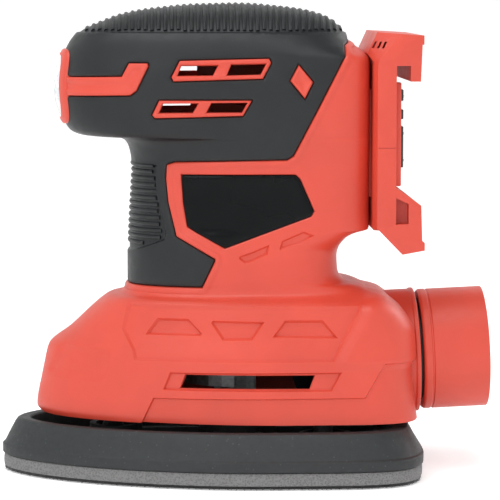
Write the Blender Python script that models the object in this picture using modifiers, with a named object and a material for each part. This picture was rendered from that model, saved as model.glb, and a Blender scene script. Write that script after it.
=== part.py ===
"""Cordless delta orbital sander with an iron-shaped pad, as an assembly of separate pieces.

Frame: +Z up, +X to the rear (battery dock and dust port), -Y is the tool's left side.
The origin is on the motor's axis at the pad's lower face.
Sizes below are millimetres; MM turns them into Blender's metres.
"""
import math

import bmesh
import bpy
import numpy as np
from mathutils import Matrix, Vector

MM = 0.001

# ---- clearances and walls -------------------------------------------------------------
FIT = 0.3            # gap between pieces that touch
SPLIT = 0.15         # each clamshell half stops this far from the centre plane
SKIN = 1.6           # soft overmould
BADGE = 1.2          # badge plate
WALL = 1.9           # moulded wall under the overmould
SHELL = SKIN + FIT + WALL
SKIRT_WALL = 2.5

# ---- motor axis and orbit -------------------------------------------------------------
ORBIT = 1.0          # eccentric offset, half the orbit's diameter
SHAFT_R = 2.5
CAN_R, CAN_LOW, CAN_HIGH, CAN_WALL = 18.5, 58.0, 108.0, 1.5
MAGNET_T, AIR_GAP = 2.5, 0.8
CORE_R = CAN_R - CAN_WALL - FIT - MAGNET_T - AIR_GAP
CORE_LOW, CORE_HIGH = 68.0, 94.0
SLOTS, SLOT_R, SLOT_DEPTH = 5, 2.6, 3.0     # winding slots, and how far in from the rim they sit
WINDING_EDGE, WINDING_BORE = 1.4, 5.0
COMMUTATOR_R, BRUSH_GAP, BRUSH_BACK = 5.5, 0.4, 4.2
BRUSH_HALF, BRUSH_LOW, BRUSH_HIGH = 2.2, CAN_HIGH - 7.0, CAN_HIGH - 2.0
HOLDER_WALL = 0.8
BEARING_R, BEARING_H = 8.0, 4.8
LOWER_BEARING_Z = 52.9
UPPER_BEARING_Z = CAN_HIGH + 5.3
FAN_R, FAN_LOW, FAN_HIGH, FAN_BLADES = 24.0, 43.5, 50.0, 9
HUB_R, HUB_LOW, HUB_HIGH = 7.5, 26.0, 40.5
BLADE_T, FAN_DISC_T, FAN_HUB_R = 1.4, 1.5, 6.0
WEIGHT_R, WEIGHT_LOW, WEIGHT_HIGH = 20.0, 32.0, 39.5

# ---- pad ------------------------------------------------------------------------------
PAD_FRONT, PAD_REAR, PAD_HALF = -83.8, 66.2, 48.5
HOOK_T, FOAM_TOP, PLATEN_LOW, PLATEN_TOP = 1.2, 5.9, 6.2, 19.0
PLATEN_EDGE, PLATEN_TAPER, PLATEN_RIM, PLATEN_FLOOR = 9.8, 6.0, 4.0, 9.6
PAD_BEARING_R, PAD_BEARING_LOW, PAD_BEARING_HIGH, STUB_R = 11.0, 16.2, 24.2, 4.9
PAD_WASHER_T, PAD_WASHER_R = 1.0, 6.8
PAD_SCREW_R, PAD_SCREW_HEAD_R, PAD_SCREW_HEAD_H = 2.0, 4.2, 2.2
RUNNING = 0.1        # radial clearance of the stub in the pad bearing
POSTS = {"post_front": (-44, 0), "post_rear_left": (30, -26.5), "post_rear_right": (30, 26.5)}
POST_R, POST_LOW, POST_TOP, WEB_HALF = 4.5, 12.5, 32.7, 6.0
DUST_HOLES = [(-62, 0), (-22, 20), (-22, -20), (8, 33), (8, -33), (50, 28), (50, -28)]
DUST_HOLE_R = 4.2

# ---- dust port ------------------------------------------------------------------------
PORT_TILT = math.radians(2.55)
PORT_X, PORT_Z = 63.7, 42.4          # a point on the port's axis
CHAMBER_R, CHAMBER_WALL = FAN_R + 2.3, 2.2
DUCT_R, DUCT_WALL = 18.0, 1.8
DUCT_END = 15.0                      # along the axis from that point, as the ends below
NECK_WALL, NECK_START, NECK_END = 2.7, -16.0, 1.6
NECK_R = DUCT_R + FIT + NECK_WALL
ADAPTER_WALL, ADAPTER_START, ADAPTER_END = 3.3, 2.6, 26.0
ADAPTER_R = DUCT_R + FIT + ADAPTER_WALL
ADAPTER_STEP, ADAPTER_CHAMFER = 0.6, 1.6     # the bore steps in past the duct, the rim is chamfered

# ---- how finely round forms are divided ----
BODY_POINTS, HOLLOW_POINTS, SKIRT_POINTS, PAD_POINTS = 26, 18, 26, 28
ROUND, SMALL_ROUND = 24, 12

# ---- body silhouettes: (height, distance) ---------------------------------------------
BODY_FRONT = [(40, -38.6), (80, -38.6), (104, -37.5), (111.2, -37.1), (115.2, -37.8), (118.1, -39.3),
              (119.2, -42), (119.6, -47), (119.9, -53), (120.6, -56.5), (122, -59), (124.5, -60.6),
              (129, -61.7), (137, -62.4), (145, -61.6), (150, -60.1), (153.5, -58.2), (157.3, -54.7),
              (160.5, -47.8), (163.4, -40.4), (164.8, -34.6), (165.9, -27.2), (167, -15.7), (167.4, -6)]
BODY_REAR = [(40, 40), (66, 40), (68.5, 38.8), (72.8, 36.3), (77.9, 36), (80.8, 36.7), (84.9, 39.2),
             (86.5, 42.1), (88, 46.8), (146.4, 46.8), (149.3, 44.7), (153.5, 40.1), (155.9, 39.3),
             (159.4, 36.7), (161.9, 33.3), (164.2, 27.6), (165.9, 19), (166.8, 10.4), (167.4, 3)]
BODY_HALF = [(40, 26.5), (64, 26.5), (80, 26.2), (100, 26.3), (110, 26.8), (118, 28), (124, 29),
             (132, 29.6), (140, 29.6), (147, 28.8), (153, 26.8), (158, 23.6), (162, 19.3),
             (165, 13.6), (166.6, 8.5), (167.4, 3)]
BODY_REAR_POWER = [(40, 4), (80, 4), (88, 8), (146, 8), (150, 4.5), (156, 3), (167.4, 2.4)]
BODY_FRONT_POWER = 2.4
BODY_LEVELS = [40, 66, 72.8, 80.8, 84.9, 86.5, 88, 104, 112.9, 118.1, 119.4, 120.2, 122, 126, 136.9,
               146, 150, 154, 158.5, 162.5, 165.2, 166.6, 167.4]
HOLLOW_LEVELS = [40, 72.8, 84.9, 88, 118.1, 120.2, 122, 136.9, 154, 162.5, 166.6, 167.4]
GRIP_UNDER, DOCK_UNDER, CROWN = (112, 128), (81, 92), 147

SKIRT_FRONT = [(21, -69.4), (23.3, -71.3), (34.7, -69.4), (39, -68.5), (45.6, -66.8), (52.2, -58.7),
               (59, -51.3), (61.9, -47.8), (63.6, -45), (64.5, -41)]
SKIRT_REAR = [(21, 65.1), (34.7, 63.3), (46.4, 62.9), (52.2, 62.2), (55.6, 60.4), (59.9, 57),
              (62.2, 53.5), (64.5, 50.5)]
SKIRT_HALF = [(21, 38.2), (30, 38), (43.2, 37), (50, 35.6), (57, 34.8), (61, 33.8), (63.4, 31.6),
              (64.5, 29)]
SKIRT_POWER = [(21, 1.75), (45, 1.8), (59, 2.2), (64.5, 2.5)]
SKIRT_LEVELS = [21, 23.3, 39.1, 45.6, 52.2, 57, 61.9, 63.6, 64.5]
DELTA_WIDEST, DELTA_POWER, DELTA_REAR_POWER = 0.62, 1.75, 5.0

# ---- outlines on the side, as (X, Z) --------------------------------------------------
GRIP_AREA = [(38, 152.6), (37.7, 149.2), (19.6, 114), (17.4, 112.5), (-13.2, 111.9), (-21.8, 111.7),
             (-24.6, 110.8), (-24.9, 105.9), (-24.1, 97.6), (-21.3, 85.9), (-7.9, 78.1), (-7.9, 77.2),
             (-12.4, 67.8), (-70, 67.8), (-70, 175), (52, 175), (43, 155)]
STRIPE = [(-61, 141.1), (-40.2, 141.7), (-37.7, 146.4), (-31.3, 146.4), (-31, 145.5), (-35.2, 136.9),
          (-37.4, 135.3), (-61, 134.6)]
DIAMOND = [(21.1, 145.8), (26, 139.8), (23.2, 134.2), (18.2, 140.3)]
WINDOW_FRAMES = [[(-20.1, 147.3), (10.8, 148), (11.5, 146.6), (8.6, 141.1), (-22.3, 140.2), (-23, 141.6)],
                 [(-27.3, 133.5), (4.8, 133.5), (1.7, 128.2), (-28.8, 127.4), (-29.7, 128.5)]]
WINDOWS = [[(-19.7, 145.7), (-6.8, 145.8), (-8.7, 142.2), (-21, 142.1)],
           [(-2.3, 146.1), (9.8, 146.3), (7.8, 142.5), (-3.9, 142.2)],
           [(-26, 132.5), (-13.7, 132.6), (-15.6, 129.2), (-27.4, 129.1)],
           [(-9.2, 132.7), (3.3, 132.8), (1.4, 129.3), (-11, 129.25)]]
BADGE_AREA = [(-19.9, 107.6), (20.3, 107.6), (22, 105.9), (26.9, 94.7), (25.8, 92.8), (-4.5, 81.6),
              (-17.8, 89.1), (-19.2, 97.5)]
SIDE_VENT = [(-18.8, 38.5), (26.4, 38.5), (24.6, 33.7), (-20.6, 33.7)]

# ---- battery dock ---------------------------------------------------------------------
SEAM = 47.3
DOCK_HALF, DOCK_PLANE = 31.5, 54.9
DOCK_SIDE = [(SEAM, 88.3), (50.7, 88), (57.2, 79.9), (65, 81.3), (65, 84), (64.1, 84.5),
             (63.7, 97), (56.8, 102), (DOCK_PLANE, 103), (DOCK_PLANE, 145.5), (59.8, 145.5),
             (59.8, 140.1), (63.3, 140.1), (63.8, 152.8), (64.4, 152.8), (64.4, 156), (48.9, 157),
             (45.5, 149.6), (SEAM, 146.6)]
TONGUE_HALF, TONGUE_LOW, TONGUE_HIGH, TONGUE_START = 17.5, 99.0, 137.0, 43.2
LEAD_WAY_HALF, LEAD_WAY_EDGE = 13.0, 2.2
TERMINAL_HALF, TERMINAL_LOW, TERMINAL_HIGH, TERMINAL_START = 16.0, 106.0, 137.0, 49.5
CONTACTS = {"power_contact_positive": 133.8, "power_contact_negative": 111.0, "sense_contact": 120.6}
CONTACT_TIP, CONTACT_TAIL, CONTACT_HALF, CONTACT_T = 60.4, 48.4, 4.0, 0.8

# ---- switch ---------------------------------------------------------------------------
SWITCH_Z, SWITCH_OPEN_Y, SWITCH_OPEN_Z = 137.6, 8.5, 9.1     # centre and half sizes of the opening
BEZEL_FRONT, BEZEL_HALF_Y, BEZEL_LOW, BEZEL_HIGH = -64.0, 12.5, 124.7, 150.5
BOOT_FRONT, BOOT_REAR, BOOT_WALL = -64.7, -60.5, 1.0
ROCKER_PIVOT = (-59.2, 137.5)
ROCKER_SIDE = [(-63, 144.2), (-61.3, 137.5), (-61.2, 130.8), (-59.6, 130.8), (-58.7, 134),
               (-58, 137.5), (-58.7, 141), (-61.2, 144.2)]
ROCKER_HALF = 5.5
SWITCH_BODY = ((-57.5, -7.6, 129.8), (-42, 7.6, 145.2))
KNOB_START, KNOB_END, KNOB_HALF = DOCK_PLANE - 2.7, 59.8, 6.5
KNOBS = [(132.3, 136.4), (125.8, 129.3), (108.6, 123.3)]     # lowest and highest of each guide knob

# ---- clamshell screws: (X, Z, where the head sits in Y, where the tip ends in Y) ------
SCREWS = [(-48, 153, 8, -12), (2, 157.5, 8, -12), (37, 143, 14, -14), (38, 93.6, 14, -14),
          (-31, 80, 12, -12), (-52, 47, 5, -8), (29, 70, 14, -14)]
SCREW_R, SCREW_HEAD_R, SCREW_HEAD_H, BOSS_WALL = 1.5, 2.9, 2.2, 1.1
BOSS_R = SCREW_HEAD_R + FIT + BOSS_WALL

# ---- internal leads, by hand-chosen points --------------------------------------------
LEAD_R = 1.1
LEADS = {"lead_battery_to_switch": [(46.5, -8, 131), (41, -8, 128), (30, -8, 129), (10, -8, 131),
                                    (-12, -8, 134), (-28, -7, 137), (-36, -5.5, 139), (-41.2, -5, 140)],
         "lead_battery_to_motor": [(46.5, 8, 111), (41, 8, 108), (34, 8, 105.5), (27, 8, 106),
                                   (22, 8, 108.5), (17.6, 8, 110.5)],
         "lead_switch_to_motor": [(-41, 5, 133.6), (-36, 6, 131), (-31, 8, 124), (-27.5, 9, 116),
                                  (-23, 8.5, 111.5), (-17.6, 8, 110.5)]}

COLOURS = {"red": (0.78, 0.10, 0.055), "soft": (0.035, 0.04, 0.042), "gloss": (0.004, 0.005, 0.006),
           "dark": (0.05, 0.06, 0.063), "foam": (0.15, 0.15, 0.15), "hook": (0.012, 0.012, 0.012),
           "clear": (0.75, 0.76, 0.78), "steel": (0.55, 0.56, 0.58), "copper": (0.6, 0.24, 0.1),
           "magnet": (0.08, 0.08, 0.085), "zinc": (0.5, 0.5, 0.5), "lead_red": (0.6, 0.03, 0.03),
           "lead_black": (0.02, 0.02, 0.02), "carbon": (0.03, 0.03, 0.03)}


# ---- small tools ----------------------------------------------------------------------
def clear_scene():
    for obj in list(bpy.data.objects):
        bpy.data.objects.remove(obj, do_unlink=True)


def make_collections():
    found = []
    for name in ("orbital_sander", "cutters"):
        found.append(bpy.data.collections.new(name))
        bpy.context.scene.collection.children.link(found[-1])
    return found


clear_scene()
PARTS, CUTTERS = make_collections()


def finish_of(name, colour, roughness, metallic):
    material = bpy.data.materials.new(name)
    material.use_nodes = True
    shader = material.node_tree.nodes["Principled BSDF"]
    shader.inputs["Base Color"].default_value = (*COLOURS[colour], 1)
    shader.inputs["Roughness"].default_value = roughness
    shader.inputs["Metallic"].default_value = metallic
    return material


def placed(obj):
    """Puts an object with the cutters until part() names it as a piece."""
    CUTTERS.objects.link(obj)
    obj.hide_render = True
    obj.display_type = "WIRE"
    return obj


def part(obj, name, colour, roughness=0.5, metallic=0.0, hang_on=None):
    CUTTERS.objects.unlink(obj)
    PARTS.objects.link(obj)
    obj.name = name
    obj.hide_render = False
    obj.display_type = "TEXTURED"
    obj.data.materials.clear()
    obj.data.materials.append(finish_of(name, colour, roughness, metallic))
    obj.data.shade_smooth()
    obj.data.set_sharp_from_angle(angle=math.radians(35))
    if hang_on:
        obj.parent = hang_on
        obj.matrix_parent_inverse = Matrix.Translation(hang_on.location).inverted()
    return obj


def axis_empty(name, x, y, z):
    empty = bpy.data.objects.new(name, None)
    PARTS.objects.link(empty)
    empty.location = Vector((x, y, z)) * MM
    return empty


def from_bmesh(name, bm):
    mesh = bpy.data.meshes.new(name)
    bm.to_mesh(mesh)
    bm.free()
    return placed(bpy.data.objects.new(name, mesh))


def box(name, low, high):
    bm = bmesh.new()
    low, high = Vector(low) * MM, Vector(high) * MM
    place = Matrix.Translation((low + high) / 2) @ Matrix.Diagonal((*(high - low), 1))
    bmesh.ops.create_cube(bm, size=1, matrix=place)
    return from_bmesh(name, bm)


def cylinder(name, radius, low, high, centre=(0, 0), segments=ROUND, turn=None):
    """A cylinder along Z from low to high, or along another direction after turn."""
    bm = bmesh.new()
    place = Matrix.Translation(Vector((*centre, (low + high) / 2)) * MM)
    place = turn @ place if turn else place
    bmesh.ops.create_cone(bm, cap_ends=True, segments=segments, radius1=radius * MM,
                          radius2=radius * MM, depth=(high - low) * MM, matrix=place)
    return from_bmesh(name, bm)


def across(x, z):
    """Turns a cylinder made along Z so that it lies along Y at the given X and Z."""
    return Matrix.Translation(Vector((x, 0, z)) * MM) @ Matrix.Rotation(-math.pi / 2, 4, "X")


def turned(name, profile, centre=(0, 0), segments=ROUND, turn=None):
    """A closed (radius, height) outline turned about Z; it runs down the outside first."""
    bm = bmesh.new()
    points = [bm.verts.new(Vector((radius, 0, height)) * MM) for radius, height in profile]
    for i, point in enumerate(points):
        bm.edges.new((point, points[(i + 1) % len(points)]))
    obj = from_bmesh(name, bm)
    screw = obj.modifiers.new("turn", "SCREW")
    screw.steps = screw.render_steps = segments
    screw.use_merge_vertices = True
    screw.merge_threshold = 0.000001
    obj.matrix_world = (turn or Matrix()) @ Matrix.Translation(Vector((*centre, 0)) * MM)
    return obj


def solid_turned(name, profile, centre=(0, 0), segments=ROUND):
    """A turned piece without a bore: its outline starts and ends on the axis."""
    rings = []
    for radius, height in profile:
        ring = [(centre[0] + radius * math.cos(a), centre[1] + radius * math.sin(a), height)
                for a in np.linspace(0, 2 * math.pi, segments, endpoint=False)]
        rings.append(ring)
    return loft(name, rings)


def plate(name, outlines, half_thickness=60.0):
    """Flat outlines in X and Z, given thickness along Y; inner outlines are holes."""
    curve = bpy.data.curves.new(name, "CURVE")
    curve.dimensions = "2D"
    curve.fill_mode = "BOTH"
    curve.extrude = half_thickness * MM
    for outline in outlines:
        spline = curve.splines.new("POLY")
        spline.points.add(len(outline) - 1)
        for point, (x, z) in zip(spline.points, outline):
            point.co = (x * MM, z * MM, 0, 1)
        spline.use_cyclic_u = True
    source = bpy.data.objects.new(name, curve)
    bpy.context.scene.collection.objects.link(source)
    source.matrix_world = Matrix.Rotation(math.pi / 2, 4, "X")
    return welded_copy(source)


def welded_copy(source):
    bpy.context.view_layer.update()
    evaluated = source.evaluated_get(bpy.context.evaluated_depsgraph_get())
    mesh = bpy.data.meshes.new_from_object(evaluated)
    bm = bmesh.new()
    bm.from_mesh(mesh)
    bmesh.ops.remove_doubles(bm, verts=bm.verts, dist=0.000001)
    bm.to_mesh(mesh)
    bm.free()
    obj = placed(bpy.data.objects.new(source.name + "_mesh", mesh))
    obj.matrix_world = source.matrix_world.copy()
    bpy.data.objects.remove(source, do_unlink=True)
    return obj


def tube(name, points, radius):
    curve = bpy.data.curves.new(name, "CURVE")
    curve.dimensions = "3D"
    curve.bevel_depth = radius * MM
    curve.bevel_resolution = 2
    curve.use_fill_caps = True
    spline = curve.splines.new("POLY")
    spline.points.add(len(points) - 1)
    for point, place in zip(spline.points, points):
        point.co = (*(Vector(place) * MM), 1)
    source = bpy.data.objects.new(name, curve)
    bpy.context.scene.collection.objects.link(source)
    return welded_copy(source)


def combine(obj, operation, *others, solver="EXACT"):
    for other in others:
        boolean = obj.modifiers.new(operation.lower(), "BOOLEAN")
        boolean.operation = operation
        boolean.solver = solver
        boolean.object = other
    return obj


def cut(obj, *others):
    return combine(obj, "DIFFERENCE", *others)


def join(obj, *others):
    return combine(obj, "UNION", *others)


def keep(obj, *others):
    return combine(obj, "INTERSECT", *others)


def round_edges(obj, width, segments=2):
    bevel = obj.modifiers.new("round", "BEVEL")
    bevel.width = width * MM
    bevel.segments = segments
    bevel.limit_method = "ANGLE"
    return obj


def half_of(whole, side):
    """The side (-1 left, 1 right) of a whole, stopping short of the centre plane."""
    near, far = side * SPLIT, side * 70
    block = box("half_block", (-100, min(near, far), -10), (110, max(near, far), 190))
    return combine(block, "INTERSECT", whole, solver="MANIFOLD")


def resized(outline, distance):
    """An outline with each side moved out by distance (in, when negative)."""
    area = sum(a[0] * b[1] - b[0] * a[1] for a, b in zip(outline, outline[1:] + outline[:1]))
    out = math.copysign(distance, distance * area)
    moved = []
    for i, corner in enumerate(outline):
        before = (Vector(corner) - Vector(outline[i - 1])).normalized()
        after = (Vector(outline[(i + 1) % len(outline)]) - Vector(corner)).normalized()
        normal = Vector((before.y + after.y, -before.x - after.x)).normalized()
        stretch = normal.dot(Vector((after.y, -after.x)))
        moved.append(tuple(Vector(corner) + normal * out / stretch))
    return moved


# ---- the body's form ------------------------------------------------------------------
def at(profile, z):
    return float(np.interp(z, [p[0] for p in profile], [p[1] for p in profile]))


def inset_at(profile, z, inset, outward):
    """A silhouette's distance at height z once the whole form has shrunk by inset on every side."""
    if inset <= 0:
        return at(profile, z) - outward * inset
    steps = np.linspace(-inset, inset, 17)
    values = [outward * at(profile, z + step) - math.sqrt(inset ** 2 - step ** 2) for step in steps]
    return outward * min(values)


def section(z, front, rear, half, front_power, rear_power, widest=0.5, count=BODY_POINTS):
    """A closed plan outline at height z: two half superellipses that meet where it is widest."""
    middle = front + widest * (rear - front)
    ring = []
    for k in range(count):
        angle = 2 * math.pi * k / count
        c, s = math.cos(angle), math.sin(angle)
        power, reach = (rear_power, rear - middle) if c > 0 else (front_power, middle - front)
        x = middle + math.copysign(abs(c) ** (2 / power), c) * reach
        y = math.copysign(abs(s) ** (2 / power), s) * half
        ring.append((x, y, z))
    return ring


def loft(name, rings):
    bm = bmesh.new()
    rows = [[bm.verts.new(Vector(point) * MM) for point in ring] for ring in rings]
    for low, high in zip(rows, rows[1:]):
        for i in range(len(low)):
            j = (i + 1) % len(low)
            bm.faces.new((low[i], low[j], high[j], high[i]))
    bm.faces.new(list(reversed(rows[0])))
    bm.faces.new(rows[-1])
    bmesh.ops.recalc_face_normals(bm, faces=bm.faces)
    bmesh.ops.triangulate(bm, faces=bm.faces)
    return from_bmesh(name, bm)


def moved_level(z, inset):
    """Where a level goes as the form shrinks: undersides rise with it and the crown sinks."""
    if inset <= 0:
        return z
    if GRIP_UNDER[0] < z < GRIP_UNDER[1] or DOCK_UNDER[0] < z < DOCK_UNDER[1]:
        return z + inset
    if z > CROWN:
        return z - inset * (z - CROWN) / (BODY_LEVELS[-1] - CROWN)
    return z


def body_form(name, inset=0.0, levels=tuple(BODY_LEVELS), count=BODY_POINTS):
    rings = []
    for level in levels:
        z = moved_level(level, inset)
        front = inset_at(BODY_FRONT, z, inset, -1)
        rear = inset_at(BODY_REAR, z, inset, 1)
        half = inset_at(BODY_HALF, z, inset, 1)
        rings.append(section(z, front, rear, max(half, 1.0), BODY_FRONT_POWER, at(BODY_REAR_POWER, z),
                             count=count))
    return loft(name, rings)


def skirt_form(name, inset=0.0):
    rings = []
    levels = SKIRT_LEVELS if inset <= 0 else [SKIRT_LEVELS[0] - 8] + [
        z for z in SKIRT_LEVELS if z < SKIRT_LEVELS[-1] - inset] + [SKIRT_LEVELS[-1] - inset]
    for z in levels:
        front = inset_at(SKIRT_FRONT, z, inset, -1)
        rear = inset_at(SKIRT_REAR, z, inset, 1)
        half = inset_at(SKIRT_HALF, z, inset, 1)
        rings.append(section(z, front, rear, half, at(SKIRT_POWER, z), DELTA_REAR_POWER,
                             DELTA_WIDEST, SKIRT_POINTS))
    return loft(name, rings)


def pad_form(name, levels):
    """A delta pad from (height, inset) pairs."""
    rings = [section(z, PAD_FRONT + inset, PAD_REAR - inset, PAD_HALF - inset, DELTA_POWER,
                     DELTA_REAR_POWER, DELTA_WIDEST, PAD_POINTS) for z, inset in levels]
    return loft(name, rings)


def port_turn():
    """Local +Z along the dust port's axis, with the origin on the port's reference point."""
    place = Matrix.Translation(Vector((PORT_X, 0, PORT_Z)) * MM)
    return place @ Matrix.Rotation(math.pi / 2 - PORT_TILT, 4, "Y")


# ---- clamshell, overmould and badges --------------------------------------------------
def cavity():
    """The hollow of the clamshell, less the ribs and bosses that stand in it."""
    hollow = join(body_form("body_hollow", SHELL, HOLLOW_LEVELS, HOLLOW_POINTS),
                  skirt_form("skirt_hollow", SKIRT_WALL))
    ribs = [box("lower_bearing_rib", (-24, -40, LOWER_BEARING_Z + FIT), (24, 40, CAN_LOW - 0.7)),
            box("can_rib_low", (-45, -40, CAN_LOW + 5.1), (50, 40, CAN_LOW + 7.1)),
            box("can_rib_high", (-45, -40, CAN_HIGH - 7), (32, 40, CAN_HIGH - 5)),
            box("upper_bearing_rib", (-20, -40, UPPER_BEARING_Z + FIT),
                (20, 40, UPPER_BEARING_Z + BEARING_H - FIT))]
    for i, (x, z, head, tip) in enumerate(SCREWS):
        ribs.append(cylinder(f"screw_boss_{i}", BOSS_R, -45, 45, segments=SMALL_ROUND, turn=across(x, z)))
    for name, (x, y) in POSTS.items():
        ribs.append(cylinder(name + "_boss", POST_R + 3, POST_LOW + 12, POST_TOP + 4, (x, y), 16))
        inner, outer = (y * 0.8, y * 2) if y else (-30, 30)
        ribs.append(box(name + "_web", (x - WEB_HALF, min(inner, outer), POST_TOP + 0.7),
                        (x + WEB_HALF, max(inner, outer), POST_TOP + 4)))
    return cut(hollow, *ribs)


def skin_region(outlines, depth):
    """Everything outside a core that lies depth inside the body, within side outlines."""
    return cut(plate("region", outlines), body_form("core", depth))


def islands():
    """Red areas that stand through the overmould."""
    return [*WINDOW_FRAMES, DIAMOND, STRIPE]


def switch_space(grow):
    y, z = SWITCH_OPEN_Y + grow, SWITCH_OPEN_Z + grow
    return box("switch_space", (-75, -y, SWITCH_Z - z), (-56, y, SWITCH_Z + z))


def switch_body_space():
    low, high = SWITCH_BODY
    return box("switch_body_space", [v - FIT for v in low], [v + FIT for v in high])


def screw_bores(grow):
    bores = []
    for i, (x, z, head, tip) in enumerate(SCREWS):
        bores.append(cylinder(f"head_bore_{i}", SCREW_HEAD_R + FIT + grow, head, 60, segments=SMALL_ROUND,
                              turn=across(x, z)))
        bores.append(cylinder(f"shank_bore_{i}", SCREW_R + FIT, tip - 1, head + 1, segments=SMALL_ROUND,
                              turn=across(x, z)))
    return bores


def housing_whole():
    whole = body_form("housing_whole")
    port = port_turn()
    join(whole, skirt_form("skirt"), cylinder("port_neck", NECK_R, NECK_START, NECK_END, turn=port))
    cut(whole, cavity())
    bore = cylinder("duct_bore", DUCT_R + FIT, CHAMBER_R / 2 - PORT_X, NECK_END + 5, turn=port)
    cut(whole, cut(bore, cylinder("fan_space", CHAMBER_R, 0, 90)))
    cut(whole, cylinder("can_bore", CAN_R + FIT, CAN_LOW - 0.3, CAN_HIGH + 0.3))
    cut(whole, cylinder("bearing_bore", BEARING_R + FIT, LOWER_BEARING_Z - 2, CAN_HIGH + 12))
    for name, (x, y) in POSTS.items():
        cut(whole, cylinder(name + "_bore", POST_R + FIT, 18, POST_TOP + FIT, (x, y), 16))
    cut(whole, *screw_bores(0))
    cut(whole, switch_space(0.5), switch_body_space())
    cut(whole, box("dock_opening", (TONGUE_START - 6, -TONGUE_HALF - FIT, TONGUE_LOW - FIT),
                   (SEAM + 5, TONGUE_HALF + FIT, TONGUE_HIGH + FIT)))
    cut(whole, skin_region([GRIP_AREA, *islands()], SKIN + FIT))
    cut(whole, skin_region([BADGE_AREA], BADGE + FIT))
    for outline in (*WINDOWS, SIDE_VENT):
        cut(whole, plate("air_opening", [outline]))
    return whole


def grip_whole():
    outlines = [resized(GRIP_AREA, -FIT)] + [resized(island, FIT) for island in islands()]
    whole = keep(body_form("grip_whole"), skin_region(outlines, SKIN))
    return cut(whole, switch_space(0.8), *screw_bores(FIT))


def badge_whole():
    return keep(body_form("badge_whole"), skin_region([resized(BADGE_AREA, -FIT)], BADGE))


def make_shells():
    wholes = (("housing", housing_whole(), "red", 0.42), ("grip_overmould", grip_whole(), "soft", 0.75),
              ("badge", badge_whole(), "gloss", 0.08))
    for name, whole, colour, roughness in wholes:
        part(half_of(whole, -1), name + "_left", colour, roughness)
        part(half_of(whole, 1), name + "_right", colour, roughness)


def make_screws():
    for i, (x, z, head, tip) in enumerate(SCREWS, 1):
        shank = cylinder("shank", SCREW_R, tip, head + 1, segments=10, turn=across(x, z))
        socket = cylinder("drive", 1.3, head + SCREW_HEAD_H - 1, head + 5, segments=6, turn=across(x, z))
        crown = cylinder("crown", SCREW_HEAD_R, head + FIT, head + FIT + SCREW_HEAD_H, segments=SMALL_ROUND,
                         turn=across(x, z))
        part(cut(join(crown, shank), socket), f"housing_screw_{i}", "steel", 0.35, 0.9)


# ---- dock, terminals ------------------------------------------------------------------
def make_dock():
    dock = plate("dock", [DOCK_SIDE], DOCK_HALF)
    join(dock, box("tongue", (TONGUE_START, -TONGUE_HALF, TONGUE_LOW), (SEAM + 2, TONGUE_HALF, TONGUE_HIGH)))
    cut(dock, box("terminal_seat", (TERMINAL_START - FIT, -TERMINAL_HALF - FIT, TERMINAL_LOW - FIT),
                  (DOCK_PLANE + 1, TERMINAL_HALF + FIT, TERMINAL_HIGH + FIT)))
    cut(dock, box("lead_way", (TONGUE_START - 2, -LEAD_WAY_HALF, TONGUE_LOW + LEAD_WAY_EDGE),
                  (TERMINAL_START + 1, LEAD_WAY_HALF, TONGUE_HIGH - LEAD_WAY_EDGE)))
    part(dock, "battery_dock", "red", 0.42)


def make_terminals():
    block = box("block", (TERMINAL_START, -TERMINAL_HALF, TERMINAL_LOW),
                (DOCK_PLANE - 0.2, TERMINAL_HALF, TERMINAL_HIGH))
    for low, high in KNOBS:
        join(block, box("knob", (KNOB_START, -KNOB_HALF, low), (KNOB_END, KNOB_HALF, high)))
    for name, z in CONTACTS.items():
        half_y, half_z = CONTACT_HALF + FIT, CONTACT_T / 2 + FIT
        cut(block, box("slot", (40, -half_y, z - half_z), (70, half_y, z + half_z)))
        blade = box(name, (CONTACT_TAIL, -CONTACT_HALF, z - CONTACT_T / 2),
                    (CONTACT_TIP, CONTACT_HALF, z + CONTACT_T / 2))
        part(blade, name, "steel", 0.25, 1.0)
    part(block, "terminal_block", "lead_black", 0.5)


# ---- switch ---------------------------------------------------------------------------
def make_switch():
    bezel = round_edges(box("bezel", (BEZEL_FRONT, -BEZEL_HALF_Y, BEZEL_LOW),
                            (-56, BEZEL_HALF_Y, BEZEL_HIGH)), 1.6)
    cut(bezel, switch_space(0), body_form("grip_surface", -FIT))
    part(bezel, "switch_bezel", "red", 0.4)

    y, z = SWITCH_OPEN_Y - FIT, SWITCH_OPEN_Z - FIT
    boot = round_edges(box("boot", (BOOT_FRONT, -y, SWITCH_Z - z), (BOOT_REAR, y, SWITCH_Z + z)), 1.2)
    hollow_y, hollow_z = y - BOOT_WALL, z - BOOT_WALL
    cut(boot, box("boot_hollow", (BOOT_FRONT + BOOT_WALL, -hollow_y, SWITCH_Z - hollow_z),
                  (BOOT_REAR + 2, hollow_y, SWITCH_Z + hollow_z)))
    part(boot, "switch_boot", "clear", 0.3)

    pivot = axis_empty("rocker_axis", ROCKER_PIVOT[0], 0, ROCKER_PIVOT[1])
    part(plate("rocker", [ROCKER_SIDE], ROCKER_HALF), "switch_rocker", "lead_black", 0.4, hang_on=pivot)
    part(round_edges(box("switch", *SWITCH_BODY), 0.6, 1), "switch_body", "lead_black", 0.5)


# ---- motor ----------------------------------------------------------------------------
def ring_profile(outer, inner, low, high):
    return [(outer, high), (outer, low), (inner, low), (inner, high)]


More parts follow.
